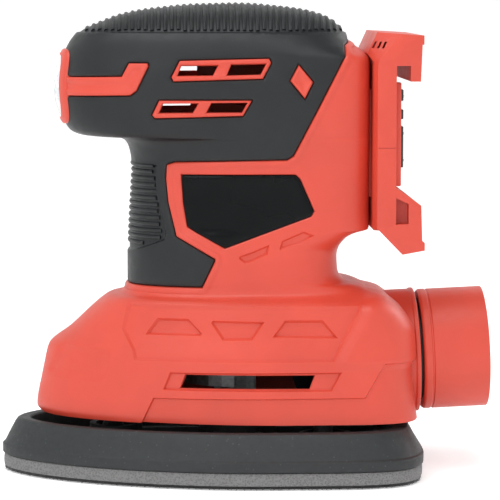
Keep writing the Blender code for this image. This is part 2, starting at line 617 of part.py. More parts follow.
def make_motor_case():
    inner = CAN_R - CAN_WALL
    can = turned("can", [(CAN_R, CAN_HIGH), (CAN_R, CAN_LOW), (6, CAN_LOW), (6, CAN_LOW + 2),
                         (inner, CAN_LOW + 2), (inner, CAN_HIGH)])
    part(can, "motor_can", "steel", 0.35, 0.9)
    cap = turned("cap", ring_profile(CAN_R, SHAFT_R + 0.7, CAN_HIGH + FIT, CAN_HIGH + 4.5))
    slot_half = BRUSH_HALF + FIT
    for side, name in ((-1, "brush_left"), (1, "brush_right")):
        near, far = COMMUTATOR_R + BRUSH_GAP, inner - BRUSH_BACK
        ends = sorted((side * near, side * far))
        holder = sorted((side * (near + 1), side * (far + FIT + HOLDER_WALL)))
        holder_half = slot_half + HOLDER_WALL + 0.1
        join(cap, box("holder", (-holder_half, holder[0], BRUSH_LOW - HOLDER_WALL),
                      (holder_half, holder[1], CAN_HIGH + 1)))
        cut(cap, box("slot", (-slot_half, ends[0] - FIT, BRUSH_LOW - FIT),
                     (slot_half, ends[1] + FIT, BRUSH_HIGH + FIT)))
        part(box(name, (-BRUSH_HALF, ends[0], BRUSH_LOW), (BRUSH_HALF, ends[1], BRUSH_HIGH)), name,
             "carbon", 0.6)
    part(cap, "motor_end_cap", "lead_black", 0.5)
    for side, name in ((-1, "magnet_left"), (1, "magnet_right")):
        magnet = turned("magnet", ring_profile(inner - FIT, CORE_R + AIR_GAP, CORE_LOW - 4, CORE_HIGH + 4))
        ends = sorted((side * 7, side * 30))
        keep(magnet, box("arc", (-30, ends[0], 0), (30, ends[1], 120)))
        part(magnet, name, "magnet", 0.6, 0.3)
    for z, name in ((LOWER_BEARING_Z, "lower_bearing"), (UPPER_BEARING_Z, "upper_bearing")):
        part(turned("bearing", ring_profile(BEARING_R, SHAFT_R + FIT, z, z + BEARING_H)), name,
             "steel", 0.25, 1.0)


def make_rotor():
    axis = axis_empty("rotor_axis", 0, 0, 0)
    reach = CORE_R - SLOT_DEPTH
    spots = [(reach * math.cos(a), reach * math.sin(a))
             for a in np.linspace(0, 2 * math.pi, SLOTS, endpoint=False)]
    core = turned("core", ring_profile(CORE_R, SHAFT_R + FIT, CORE_LOW, CORE_HIGH))
    rim = CORE_R - WINDING_EDGE
    winding = turned("winding", ring_profile(rim, WINDING_BORE, CORE_HIGH + FIT, CORE_HIGH + 5))
    lower = turned("winding_low", ring_profile(rim, WINDING_BORE, CORE_LOW - 5, CORE_LOW - FIT))
    join(winding, lower)
    for i, spot in enumerate(spots):
        cut(core, cylinder(f"slot_{i}", SLOT_R + FIT, CORE_LOW - 1, CORE_HIGH + 1, spot, 16))
        cut(core, slot_mouth(f"slot_mouth_{i}", spot))
        join(winding, cylinder(f"coil_{i}", SLOT_R - FIT, CORE_LOW - 2, CORE_HIGH + 2, spot, 16))
    part(core, "armature_core", "steel", 0.5, 0.8, axis)
    part(winding, "armature_winding", "copper", 0.35, 0.8, axis)
    part(turned("commutator", ring_profile(COMMUTATOR_R, SHAFT_R + FIT, CORE_HIGH + 5.5, CAN_HIGH - 1.4)),
         "commutator", "copper", 0.25, 1.0, axis)
    part(cylinder("shaft", SHAFT_R, HUB_LOW + 1.5, UPPER_BEARING_Z + BEARING_H + 0.4),
         "motor_shaft", "steel", 0.2, 1.0, axis)
    part(fan(), "extraction_fan", "lead_black", 0.5, 0.0, axis)
    part(hub(), "eccentric_hub", "zinc", 0.45, 0.9, axis)
    make_pad_fixing(axis)


def slot_mouth(name, spot):
    """The gap from a winding slot out to the core's rim."""
    angle = math.atan2(spot[1], spot[0])
    mouth = box(name, (CORE_R - SLOT_DEPTH, -0.9, CORE_LOW - 1), (CORE_R + 1, 0.9, CORE_HIGH + 1))
    mouth.data.transform(Matrix.Rotation(angle, 4, "Z"))
    return mouth


def fan():
    disc_top = FAN_LOW + FAN_DISC_T
    wheel = turned("fan", [(FAN_R, disc_top), (FAN_R, FAN_LOW), (SHAFT_R + FIT, FAN_LOW),
                           (SHAFT_R + FIT, FAN_HIGH), (FAN_HUB_R, FAN_HIGH), (FAN_HUB_R, disc_top)])
    for k in range(FAN_BLADES):
        blade = box(f"blade_{k}", (FAN_HUB_R - 0.5, -BLADE_T / 2, FAN_LOW + 1),
                    (FAN_R - 0.5, BLADE_T / 2, FAN_HIGH))
        blade.data.transform(Matrix.Rotation(2 * math.pi * k / FAN_BLADES, 4, "Z"))
        join(wheel, blade)
    return wheel


def hub():
    """The eccentric: a hub on the shaft, a stub off its axis and a weight on the other side."""
    body = cylinder("hub", HUB_R, HUB_LOW, HUB_HIGH)
    weight = keep(cylinder("weight", WEIGHT_R, WEIGHT_LOW, WEIGHT_HIGH),
                  box("weight_side", (-40, -40, 0), (-1, 40, 60)))
    join(body, weight, cylinder("stub", STUB_R, PAD_BEARING_LOW, HUB_LOW + 0.5, (ORBIT, 0)))
    cut(body, cylinder("shaft_bore", SHAFT_R + FIT, HUB_LOW + 1.2, HUB_HIGH + 1))
    return cut(body, cylinder("screw_bore", PAD_SCREW_R + FIT, PAD_BEARING_LOW - 1, HUB_LOW - 1,
                              (ORBIT, 0), 16))


def make_pad_fixing(axis):
    washer_top = PAD_BEARING_LOW - FIT
    washer = turned("washer", ring_profile(PAD_WASHER_R, PAD_SCREW_R + FIT, washer_top - PAD_WASHER_T,
                                           washer_top), (ORBIT, 0))
    part(washer, "bearing_washer", "steel", 0.3, 1.0, axis)
    head_top = washer_top - PAD_WASHER_T - FIT
    head_low = head_top - PAD_SCREW_HEAD_H
    profile = [(PAD_SCREW_HEAD_R, head_low), (PAD_SCREW_HEAD_R, head_top), (PAD_SCREW_R, head_top),
               (PAD_SCREW_R, HUB_LOW - 2)]
    screw = solid_turned("pad_screw", profile, (ORBIT, 0), 20)
    cut(screw, cylinder("pad_screw_drive", 0.45 * PAD_SCREW_HEAD_R, head_low - 2, head_top - 0.9,
                        (ORBIT, 0), 6))
    part(screw, "pad_screw", "steel", 0.3, 1.0, axis)


# ---- dust way -------------------------------------------------------------------------
def make_dust_way():
    port = port_turn()
    chamber_low, chamber_high = FAN_LOW - 2.5, FAN_HIGH + 2.3
    outer, inner = CHAMBER_R + CHAMBER_WALL, CHAMBER_R
    duct = turned("duct", [(outer, chamber_high), (outer, chamber_low), (inner, chamber_low),
                           (inner, chamber_high - 1.5), (12, chamber_high - 1.5), (12, chamber_high)])
    outlet = cylinder("outlet", DUCT_R, inner / 2 - PORT_X, DUCT_END, turn=port)
    join(duct, cut(outlet, cylinder("fan_space", inner, 0, 90)))
    bore_start = inner - 6 - PORT_X
    cut(duct, cylinder("outlet_bore", DUCT_R - DUCT_WALL, bore_start, DUCT_END + 2, turn=port))
    cut(duct, cylinder("fan_room", inner, 20, chamber_high - 1.5))
    part(duct, "dust_duct", "dark", 0.5)

    start = (PORT_X + ADAPTER_START * math.cos(PORT_TILT), PORT_Z + ADAPTER_START * math.sin(PORT_TILT))
    axis = axis_empty("adapter_axis", start[0], 0, start[1])
    socket_end = DUCT_END + 1
    bore = DUCT_R - ADAPTER_STEP
    profile = [(ADAPTER_R, ADAPTER_END), (ADAPTER_R, ADAPTER_START + ADAPTER_CHAMFER),
               (ADAPTER_R - 1, ADAPTER_START), (DUCT_R + FIT, ADAPTER_START),
               (DUCT_R + FIT, socket_end), (bore, socket_end + 1), (bore, ADAPTER_END)]
    part(turned("adapter", profile, segments=32, turn=port), "dust_adapter", "red", 0.4, 0.0, axis)


# ---- pad ------------------------------------------------------------------------------
def make_pad():
    axis = axis_empty("pad_axis", ORBIT, 0, 0)
    holes = [cylinder(f"dust_hole_{i}", DUST_HOLE_R, -2, PLATEN_TOP + 5, spot, SMALL_ROUND)
             for i, spot in enumerate(DUST_HOLES)]
    part(cut(pad_form("hook", [(0, 1.2), (HOOK_T, 1.2)]), *holes), "hook_sheet", "hook", 0.95, 0.0, axis)
    part(cut(pad_form("foam", [(HOOK_T + FIT, 0.6), (FOAM_TOP, 0.6)]), *holes), "foam_pad", "foam", 0.9,
         0.0, axis)

    platen = pad_form("platen", [(PLATEN_LOW, 0), (PLATEN_EDGE, 0), (PLATEN_EDGE + 0.7, 1),
                                 (PLATEN_TOP, PLATEN_TAPER)])
    tray = pad_form("tray", [(PLATEN_FLOOR, PLATEN_TAPER + PLATEN_RIM + 1),
                             (PLATEN_TOP + 1, PLATEN_TAPER + PLATEN_RIM)])
    fills = [cylinder("bearing_boss", PAD_BEARING_R + FIT + 2.8, PLATEN_LOW + 1, PAD_BEARING_HIGH,
                      (ORBIT, 0))]
    for name, (x, y) in POSTS.items():
        fills.append(cylinder(name + "_socket", POST_R + 5, PLATEN_LOW + 1, POST_LOW + 4, (x + ORBIT, y), 16))
    for k in range(3):
        rib = box(f"platen_rib_{k}", (-70, -1.2, PLATEN_LOW + 1), (60, 1.2, PLATEN_TOP - 4))
        rib.data.transform(Matrix.Rotation(math.pi * k / 3, 4, "Z"))
        fills.append(keep(rib, pad_form("rib_limit", [(PLATEN_LOW, 8), (PLATEN_TOP, 8)])))
    cut(platen, tray)
    join(platen, *fills)
    cut(platen, cylinder("bearing_seat", PAD_BEARING_R + FIT, PAD_BEARING_LOW - FIT, PAD_BEARING_HIGH + 1,
                         (ORBIT, 0)))
    cut(platen, cylinder("screw_way", 7.8, PLATEN_LOW - 1, PAD_BEARING_LOW + 1, (ORBIT, 0), 16))
    for name, (x, y) in POSTS.items():
        cut(platen, cylinder(name + "_well", POST_R + 2.8, POST_LOW - 0.5, PLATEN_TOP, (x + ORBIT, y), 16))
    part(cut(platen, *holes), "platen", "dark", 0.5, 0.0, axis)
    part(turned("pad_bearing", ring_profile(PAD_BEARING_R, STUB_R + RUNNING, PAD_BEARING_LOW,
                                            PAD_BEARING_HIGH), (ORBIT, 0)),
         "pad_bearing", "steel", 0.25, 1.0, axis)


def make_posts():
    waist = POST_R - 1.1
    for name, spot in POSTS.items():
        profile = [(POST_R, POST_LOW), (POST_R, POST_LOW + 2.5), (waist, POST_LOW + 4.5),
                   (waist, POST_TOP - 9.5), (POST_R, POST_TOP - 7.5), (POST_R, POST_TOP)]
        part(solid_turned(name, profile, spot, SMALL_ROUND), name, "hook", 0.8)


def make_leads():
    for name, points in LEADS.items():
        colour = "lead_red" if "battery_to_switch" in name else "lead_black"
        part(tube(name, points, LEAD_R), name, colour, 0.45)


make_shells()
make_screws()
make_dock()
make_terminals()
make_switch()
make_motor_case()
make_rotor()
make_dust_way()
make_pad()
make_posts()
make_leads()
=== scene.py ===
"""The looks of a cordless delta sander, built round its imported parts.

Lengths in this file are millimetres, in the parts' own frame: +Z up, +X to the rear, -Y the tool's left
side, and the origin on the motor's axis at the pad's lower face. MM turns them into Blender's metres.
"""
import math

import bmesh
import bpy
import numpy as np
from bpy.props import FloatProperty, FloatVectorProperty, IntProperty, PointerProperty
from mathutils import Matrix, Vector
from mathutils.geometry import delaunay_2d_cdt


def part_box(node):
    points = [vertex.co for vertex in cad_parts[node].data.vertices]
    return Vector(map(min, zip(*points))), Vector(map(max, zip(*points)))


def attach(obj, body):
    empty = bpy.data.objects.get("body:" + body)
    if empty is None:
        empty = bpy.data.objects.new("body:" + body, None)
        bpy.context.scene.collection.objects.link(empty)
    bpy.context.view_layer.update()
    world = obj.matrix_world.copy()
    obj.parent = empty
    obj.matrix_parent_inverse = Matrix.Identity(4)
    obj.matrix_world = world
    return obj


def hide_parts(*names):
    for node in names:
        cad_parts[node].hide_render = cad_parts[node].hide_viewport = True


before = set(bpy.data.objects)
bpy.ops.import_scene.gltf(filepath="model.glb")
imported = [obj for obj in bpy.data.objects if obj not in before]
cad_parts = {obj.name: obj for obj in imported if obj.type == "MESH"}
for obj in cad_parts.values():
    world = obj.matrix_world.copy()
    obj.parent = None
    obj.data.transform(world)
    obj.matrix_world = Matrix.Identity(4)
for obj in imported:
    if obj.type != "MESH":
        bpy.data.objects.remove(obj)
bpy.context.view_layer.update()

bl_info = {
    "name": "Delta sander",
    "version": (1, 0, 0),
    "blender": (4, 5, 0),
    "location": "View3D > Sidebar > Sander",
    "description": "Builds the visible pieces of a cordless delta sander round its packed parts",
    "category": "Object",
}

MM = 0.001
LEFT, RIGHT = -1, 1
SIDES = {"left": LEFT, "right": RIGHT}

# ---- silhouettes of clamshell and skirt: (level, distance) ------------------------------
FRONT = [(21, 69.4), (23.3, 71.3), (34.7, 69.4), (39, 68.5), (45.6, 66.8), (52.2, 58.7), (59, 51.3),
         (61.9, 47.8), (63.6, 45), (64.5, 41), (66.5, 39.2), (69, 38.6), (80, 38.6), (104, 37.5),
         (111.2, 37.1), (115.2, 37.8), (118.1, 39.3), (119.2, 42), (119.6, 47), (119.9, 53),
         (120.6, 56.5), (122, 59), (124.5, 60.6), (129, 61.7), (137, 62.4), (145, 61.6), (150, 60.1),
         (153.5, 58.2), (157.3, 54.7), (160.5, 47.8), (163.4, 40.4), (164.8, 34.6), (165.9, 27.2),
         (167, 15.7), (167.4, 8), (170, 2)]
REAR = [(21, 65.1), (34.7, 63.3), (46.4, 62.9), (52.2, 62.2), (55.6, 60.4), (59.9, 57), (62.2, 53.9),
        (64.2, 51.3), (66.2, 46.8), (67.9, 42.7), (68.7, 38.8), (72.8, 36.3), (77.9, 36), (80.8, 36.7),
        (84.9, 39.2), (86.5, 42.1), (88, 46.8), (146.4, 46.8), (149.3, 44.7), (153.5, 40.1),
        (155.9, 39.3), (159.4, 36.7), (161.9, 33.3), (164.2, 27.6), (165.9, 19), (166.8, 10.4),
        (167.4, 6), (170, 1)]
HALF = [(21, 38.2), (30, 38), (43.2, 37), (50, 35.6), (57, 34.8), (61, 33.8), (63, 31.6), (64.3, 28.8),
        (65.5, 27.2), (68, 26.5), (80, 26.2), (100, 26.3), (110, 26.8), (118, 28), (124, 29),
        (132, 29.6), (140, 29.6), (147, 28.8), (153, 26.8), (158, 23.6), (162, 19.3), (165, 13.6),
        (166.6, 8.5), (167.4, 5), (170, 0.6)]
HEIGHT = [(21, 21), (100, 100), (166, 166), (167.4, 167.2), (170, 167.38)]
FRONT_POWER = [(21, 1.75), (45, 1.8), (59, 2.1), (63, 2.3), (66, 2.4), (170, 2.4)]
REAR_POWER = [(21, 5), (62, 5), (66, 4), (80, 4), (88, 8), (146, 8), (150, 4.5), (156, 3), (170, 2.4)]
WIDEST = [(21, 0.62), (60, 0.62), (66, 0.5), (170, 0.5)]
SPLIT = 0.12             # each clamshell half stops this far from the centre plane
LEVEL_STEP, AROUND = 0.2, 300
UNROLLED = 75.0          # half the unrolled width of one side

# ---- outlines on the sides, as (X, Z) ---------------------------------------------------
GRIP_AREA = [(38, 152.6), (37.7, 149.2), (19.6, 114), (17.4, 112.5), (-13.2, 111.9), (-21.8, 111.7),
             (-24.6, 110.8), (-24.9, 105.9), (-24.1, 97.6), (-21.3, 85.9), (-7.9, 78.1), (-7.9, 77.2),
             (-12.4, 67.8), (-80, 67.8), (-80, 175), (52, 175), (43, 155)]
STRIPE = [(-66, 141.1), (-40.2, 141.7), (-37.7, 146.4), (-31.3, 146.4), (-31, 145.5), (-35.2, 136.9),
          (-37.4, 135.3), (-66, 134.6)]
DIAMOND = [(21.1, 145.8), (26, 139.8), (23.2, 134.2), (18.2, 140.3)]
WINDOW_FRAMES = [[(-20.1, 147.3), (10.8, 148), (11.5, 146.6), (8.6, 141.1), (-22.3, 140.2), (-23, 141.6)],
                 [(-27.3, 133.5), (4.8, 133.5), (1.7, 128.2), (-28.8, 127.4), (-29.7, 128.5)]]
WINDOWS = [[(-19.7, 145.7), (-6.8, 145.8), (-8.7, 142.2), (-21, 142.1)],
           [(-2.3, 146.1), (9.8, 146.3), (7.8, 142.5), (-3.9, 142.2)],
           [(-26, 132.5), (-13.7, 132.6), (-15.6, 129.2), (-27.4, 129.1)],
           [(-9.2, 132.7), (3.3, 132.8), (1.4, 129.3), (-11, 129.25)]]
BADGE_AREA = [(-19.9, 107.6), (20.3, 107.6), (22, 105.9), (26.9, 94.7), (25.8, 92.8), (-4.5, 81.6),
              (-17.8, 89.1), (-19.2, 97.5)]
SIDE_VENT = [(-18.8, 38.5), (26.4, 38.5), (24.6, 33.7), (-20.6, 33.7)]
VENT_RECESS = [(-25.9, 33.2), (-23.7, 38.9), (35.4, 39.2), (32, 33.2)]
TRAPEZOIDS = [[(-32.4, 52), (-28.3, 57.5), (-17.6, 57.5), (-12.4, 52)],
              [(-10, 57.1), (8.8, 56.8), (4.6, 50.8), (-5.6, 50.6)],
              [(12, 51.7), (16.2, 57.3), (29.2, 57.3), (34.3, 51.3)]]
ORNAMENTS = [[(14.8, 81.4), (15.6, 84.2), (23.1, 87.5), (26.5, 86.1), (22.6, 83.6)],
             [(10.9, 82.8), (10.3, 79.7), (4.2, 76.9), (2.6, 76.7), (-0.1, 78.6), (4.2, 80)]]
SIDE_PANEL = [(-38.2, 62), (42.4, 61.6), (34.9, 47.4), (33, 43.5), (-36, 43.2), (-36.6, 46.5), (-40.2, 53.3)]
REAR_PANEL = [(46.3, 63), (46.3, 59.1), (40.3, 48.5), (37.2, 43), (90, 42.5), (90, 63)]
FRONT_PANEL = [(-62, 45.8), (-45.8, 45.4), (-47.5, 36.1), (-66.5, 36.5)]
LOWER_BAND = [(-34.5, 19), (-32.1, 24.6), (-29.6, 29.9), (44, 30.4), (50.9, 42), (90, 41.5), (90, 19)]
RIB_BED = [(-62, 157), (40, 157), (40, 180), (-62, 180)]
NECK_BED = [(-60, 110.4), (-28.2, 110.4), (-28.7, 103.8), (-27.4, 96), (-25.1, 86.5), (-25.7, 84.6),
            (-34.6, 80.9), (-60, 71)]

# ---- how each relief rises or sinks: (depth inside its outline, height) ------------------
GRIP_SEAT = [(-2.2, 0), (-1.7, 0.3), (-0.7, 0.38), (-0.25, 0.2), (0, -0.15), (0.12, -1.95)]
GRIP_EDGE = [(0, -0.9), (0.1, -0.45), (0.35, -0.15), (0.9, 0)]
BADGE_SEAT = [(-0.9, 0), (-0.35, -0.06), (0, -0.35), (0.12, -1.6)]
BADGE_EDGE = [(0, -0.75), (0.15, -0.42), (0.45, -0.26), (1.2, -0.2)]
HOLE_EDGE = [(-0.7, 0), (-0.25, -0.1), (0, -0.4)]
HOUSING_RELIEFS = [(VENT_RECESS, [(-0.3, 0), (0.25, -1.0)]),
                   (SIDE_PANEL, [(-0.4, 0), (0.4, -0.85)]),
                   (REAR_PANEL, [(-3.2, 0), (-2.9, 0.05), (-0.3, 0.95), (0.3, 1.0)]),
                   (FRONT_PANEL, [(-0.9, 0), (0.6, -0.65)]),
                   (LOWER_BAND, [(-0.2, 0), (0.2, -0.85)]),
                   *[(outline, [(-0.2, 0), (0.6, -1.1)]) for outline in TRAPEZOIDS],
                   *[(outline, [(-0.2, 0), (0.5, -0.9)]) for outline in ORNAMENTS],
                   *[(outline, HOLE_EDGE) for outline in WINDOWS],
                   (SIDE_VENT, [(-0.45, 0), (-0.15, -0.06), (0, -0.25)]),
                   (DIAMOND, [(0.9, 0), (1.3, -0.25)]),
                   (BADGE_AREA, BADGE_SEAT)]
SHELL_T, GRIP_T, BADGE_T = 2.1, 1.6, 1.2

# ---- pad and dust port ------------------------------------------------------------------
PAD_FRONT, PAD_REAR, PAD_HALF = -83.8, 66.2, 48.5
PAD_AROUND = 220
ORBIT = 1.0
DUST_HOLES = [(-62, 0), (-22, 20), (-22, -20), (8, 33), (8, -33), (50, 28), (50, -28)]
DUST_HOLE_R, SCREW_WAY_R = 4.2, 7.8
POSTS = [(-44, 0), (30, -26.5), (30, 26.5)]
PORT_TILT = math.radians(2.55)
PORT_X, PORT_Z = 63.7, 42.4
DUCT_CLEAR = 18.3

# ---- dock and switch --------------------------------------------------------------------
DOCK_FULL = [(47.3, 88.3), (50.7, 88), (57.2, 79.9), (65, 81.3), (65, 84), (64.1, 84.5), (63.7, 97),
             (56.8, 102), (54.9, 103), (54.9, 145.5), (59.8, 145.5), (59.8, 140.1), (63.3, 140.1),
             (63.8, 152.8), (64.4, 152.8), (64.4, 156), (48.9, 157), (45.5, 149.6), (47.3, 146.6)]
DOCK_SIDE_CHANGES = {0: (48.4, 89), 1: (49.4, 88), 16: (56.6, 156.5), 17: (48.9, 147.9), 18: (48.4, 145.6)}
DOCK_HALF, DOCK_CHAMFER, DOCK_FACET = 31.5, 2.6, 9.5
SWITCH_Z, SWITCH_OPEN_Y, SWITCH_OPEN_Z = 137.7, 8.8, 11.0
BEZEL_OUT_Y, BEZEL_OUT_Z = 12.3, 13.2


# ---- numbers ----------------------------------------------------------------------------
def smooth(knots):
    """A monotone cubic through (level, value) knots, so that it never overshoots between them."""
    x, y = np.array(knots, float).T
    step = np.diff(x)
    rise = np.diff(y) / step
    slope = np.zeros_like(y)
    slope[0], slope[-1] = rise[0], rise[-1]
    for i in range(1, len(y) - 1):
        if rise[i - 1] * rise[i] > 0:
            before, after = 2 * step[i] + step[i - 1], step[i] + 2 * step[i - 1]
            slope[i] = (before + after) / (before / rise[i - 1] + after / rise[i])

    def value(at):
        at = np.clip(at, x[0], x[-1])
        i = np.clip(np.searchsorted(x, at, side="right") - 1, 0, len(x) - 2)
        share = (at - x[i]) / step[i]
        rest = 1 - share
        return ((1 + 2 * share) * rest ** 2 * y[i] + share * rest ** 2 * step[i] * slope[i]
                + share ** 2 * (3 - 2 * share) * y[i + 1] - share ** 2 * rest * step[i] * slope[i + 1])
    return value


def unit(vectors):
    return vectors / np.maximum(np.linalg.norm(vectors, axis=-1, keepdims=True), 1e-9)


def inside_depth(outline, x, z):
    """How deep points lie inside a closed outline; negative outside it."""
    nearest, inside = np.full(x.shape, np.inf), np.zeros(x.shape, bool)
    for (ax, az), (bx, bz) in zip(outline, outline[1:] + outline[:1]):
        dx, dz = bx - ax, bz - az
        share = np.clip(((x - ax) * dx + (z - az) * dz) / (dx * dx + dz * dz), 0, 1)
        nearest = np.minimum(nearest, np.hypot(x - ax - share * dx, z - az - share * dz))
        if dz:
            inside ^= ((az > z) != (bz > z)) & (x < dx * (z - az) / dz + ax)
    return np.where(inside, nearest, -nearest)


def resized(outline, distance):
    """An outline with each side moved out by distance (in, when negative)."""
    area = sum(a[0] * b[1] - b[0] * a[1] for a, b in zip(outline, outline[1:] + outline[:1]))
    out = math.copysign(distance, distance * area)
    moved = []
    for i, corner in enumerate(outline):
        before = (Vector(corner) - Vector(outline[i - 1])).normalized()
        after = (Vector(outline[(i + 1) % len(outline)]) - Vector(corner)).normalized()
        normal = Vector((before.y + after.y, -before.x - after.x)).normalized()
        stretch = max(normal.dot(Vector((after.y, -after.x))), 0.5)
        moved.append(tuple(Vector(corner) + normal * out / stretch))
    return moved


def filleted(outline, radius, steps=4, closed=True):
    """An outline whose corners are rounded."""
    rounded, count = [], len(outline)
    for i, corner in enumerate(outline):
        if not closed and i in (0, count - 1):
            rounded.append(tuple(corner))
            continue
        corner, before, after = Vector(corner), Vector(outline[i - 1]), Vector(outline[(i + 1) % count])
        reach = min(radius, 0.45 * (corner - before).length, 0.45 * (after - corner).length)
        start = corner + (before - corner).normalized() * reach
        end = corner + (after - corner).normalized() * reach
        for k in range(steps + 1):
            share = k / steps
            rounded.append(tuple(start * (1 - share) ** 2 + corner * 2 * share * (1 - share)
                                 + end * share ** 2))
    return rounded


def circle(x, z, radius, count=24):
    return [(x + radius * math.cos(a), z + radius * math.sin(a))
            for a in np.linspace(0, 2 * math.pi, count, endpoint=False)]


def divided(line, longest, closed=True):
    """Points along a line of corners, none further apart than longest."""
    points = []
    ends = list(zip(line, line[1:] + line[:1])) if closed else list(zip(line, line[1:]))
    for a, b in ends:
        count = max(1, math.ceil(math.dist(a, b) / longest))
        points += [(a[0] + (b[0] - a[0]) * k / count, a[1] + (b[1] - a[1]) * k / count)
                   for k in range(count)]
    return points if closed else points + [line[-1]]


# ---- the body's form, unrolled ----------------------------------------------------------
class BodyForm:
    """One side of the body's surface, unrolled: u runs from the front edge (-1) past X = 0 to the rear
    edge (1), and t is the way up along the profiles. The other side is its mirror image."""

    def __init__(self):
        level = np.arange(FRONT[0][0], FRONT[-1][0] + LEVEL_STEP / 2, LEVEL_STEP)
        front, rear, half = -smooth(FRONT)(level), smooth(REAR)(level), smooth(HALF)(level)
        self.height = smooth(HEIGHT)(level)
        middle = front + smooth(WIDEST)(level) * (rear - front)
        angle = np.linspace(0, math.pi / 2, 120)

        def quarter(power, reach):
            power = power[:, None]
            size = (np.cos(angle) ** power + np.sin(angle) ** power + 1e-12) ** (-1 / power)
            return reach[:, None] * size * np.cos(angle), half[:, None] * size * np.sin(angle)

        front_x, front_y = quarter(smooth(FRONT_POWER)(level), middle - front)
        rear_x, rear_y = quarter(smooth(REAR_POWER)(level), rear - middle)
        x = np.hstack([middle[:, None] - front_x, (middle[:, None] + rear_x)[:, -2::-1]])
        y = np.hstack([front_y, rear_y[:, -2::-1]])
        self.u = np.linspace(-1, 1, 2 * AROUND + 1)
        self.table = np.zeros((len(level), len(self.u), 3))
        for i in range(len(level)):
            arc = np.concatenate([[0], np.cumsum(np.hypot(np.diff(x[i]), np.diff(y[i])))])
            zero = np.interp(0, x[i], arc)
            along = np.where(self.u < 0, zero * (1 + self.u), zero + self.u * (arc[-1] - zero))
            self.table[i, :, 0] = np.interp(along, arc, x[i])
            self.table[i, :, 1] = np.interp(along, arc, y[i])
            self.table[i, :, 2] = self.height[i]
        widest_move = np.max(np.abs([np.diff(front), np.diff(rear), np.diff(half)]), axis=0)
        self.t = np.concatenate([[0], np.cumsum(np.hypot(np.diff(self.height), widest_move))])
        across = unit(np.gradient(self.table, axis=1))
        up = np.gradient(self.table, axis=0)
        up -= across * np.sum(up * across, axis=2, keepdims=True)
        self.normals = unit(np.cross(unit(up), across))

    def place(self, u, t):
        """Points on the surface, with Y as the distance from the centre plane."""
        return self.looked_up(self.table, u, t)

    def outward(self, u, t):
        """Unit normals, for the side with positive Y."""
        return unit(self.looked_up(self.normals, u, t))

    def looked_up(self, table, u, t):
        row = np.clip(np.interp(t, self.t, np.arange(len(self.t))), 0, len(self.t) - 1.001)
        column = np.clip((u + 1) * AROUND, 0, 2 * AROUND - 0.001)
        i, k = row.astype(int), column.astype(int)
        up, on = (row - i)[:, None], (column - k)[:, None]
        low = table[i, k] * (1 - on) + table[i, k + 1] * on
        high = table[i + 1, k] * (1 - on) + table[i + 1, k + 1] * on
        return low * (1 - up) + high * up

    def unroll(self, points):
        """(X, Z) points of a side view as unrolled (u, t); points off the form go to its edge."""
        found = []
        rows = np.arange(len(self.t))
        for x, z in points:
            row = np.interp(z, self.height, rows)
            i = min(int(row), len(rows) - 2)
            line = self.table[i, :, 0] * (i + 1 - row) + self.table[i + 1, :, 0] * (row - i)
            found.append((np.interp(x, line, self.u), np.interp(row, rows, self.t)))
        return found

    def front_at(self, y, z):
        """X of the front surface at a distance y from the centre plane and a height z."""
        i = int(np.interp(z, self.height, np.arange(len(self.t))))
        return float(np.interp(y, self.table[i, :AROUND, 1], self.table[i, :AROUND, 0]))


BODY = BodyForm()


class Region:
    """An area of the side view: one outline less the holes in it."""

    def __init__(self, outline, holes=()):
        self.outline, self.holes = outline, list(holes)

    def depth(self, x, z):
        depth = inside_depth(self.outline, x, z)
        for hole in self.holes:
            depth = np.minimum(depth, -inside_depth(hole, x, z))
        return depth

    def rows(self, depth):
        """The lines that lie at a given depth inside the area."""
        return [resized(self.outline, -depth)] + [resized(hole, depth) for hole in self.holes]


# ---- meshes -----------------------------------------------------------------------------
def new_object(name, mesh):
    obj = bpy.data.objects.new(name, mesh)
    bpy.context.scene.collection.objects.link(obj)
    return obj


def mesh_object(name, points, faces, merge=0.0):
    """An object from points in millimetres."""
    mesh = bpy.data.meshes.new(name)
    mesh.from_pydata([tuple(float(v) * MM for v in p) for p in points], [], [list(f) for f in faces])
    bm = bmesh.new()
    bm.from_mesh(mesh)
    loose = [v for v in bm.verts if not v.link_faces]
    bmesh.ops.delete(bm, geom=loose, context="VERTS")
    if merge:
        bmesh.ops.remove_doubles(bm, verts=bm.verts, dist=merge * MM)
    bm.to_mesh(mesh)
    bm.free()
    return new_object(name, mesh)


def applied(obj):
    """The object with its modifiers made part of its mesh."""
    evaluated = obj.evaluated_get(bpy.context.evaluated_depsgraph_get())
    mesh = bpy.data.meshes.new_from_object(evaluated)
    old = obj.data
    obj.modifiers.clear()
    obj.data = mesh
    if isinstance(old, bpy.types.Mesh):
        bpy.data.meshes.remove(old)
    return obj


def joined(obj, *others):
    """One object from several; each keeps its own closed shape."""
    bm = bmesh.new()
    for part in (obj, *others):
        bm.from_mesh(part.data)
    bm.to_mesh(obj.data)
    bm.free()
    for other in others:
        bpy.data.objects.remove(other, do_unlink=True)
    return obj


def carved(obj, cutters, operation="DIFFERENCE"):
    """A Boolean with each cutter, which is then removed."""
    for cutter in cutters:
        boolean = obj.modifiers.new("carve", "BOOLEAN")
        boolean.operation = operation
        boolean.object = cutter
        boolean.solver = "EXACT"
    applied(obj)
    for cutter in cutters:
        bpy.data.objects.remove(cutter, do_unlink=True)
    return obj


def shaded(obj, degrees=35):
    obj.data.shade_smooth()
    obj.data.set_sharp_from_angle(angle=math.radians(degrees))
    return obj


def beveled(obj, width, segments=3, degrees=30):
    bevel = obj.modifiers.new("edges", "BEVEL")
    bevel.width = width * MM
    bevel.segments = segments
    bevel.limit_method = "ANGLE"
    bevel.angle_limit = math.radians(degrees)
    bevel.harden_normals = False
    return applied(obj)


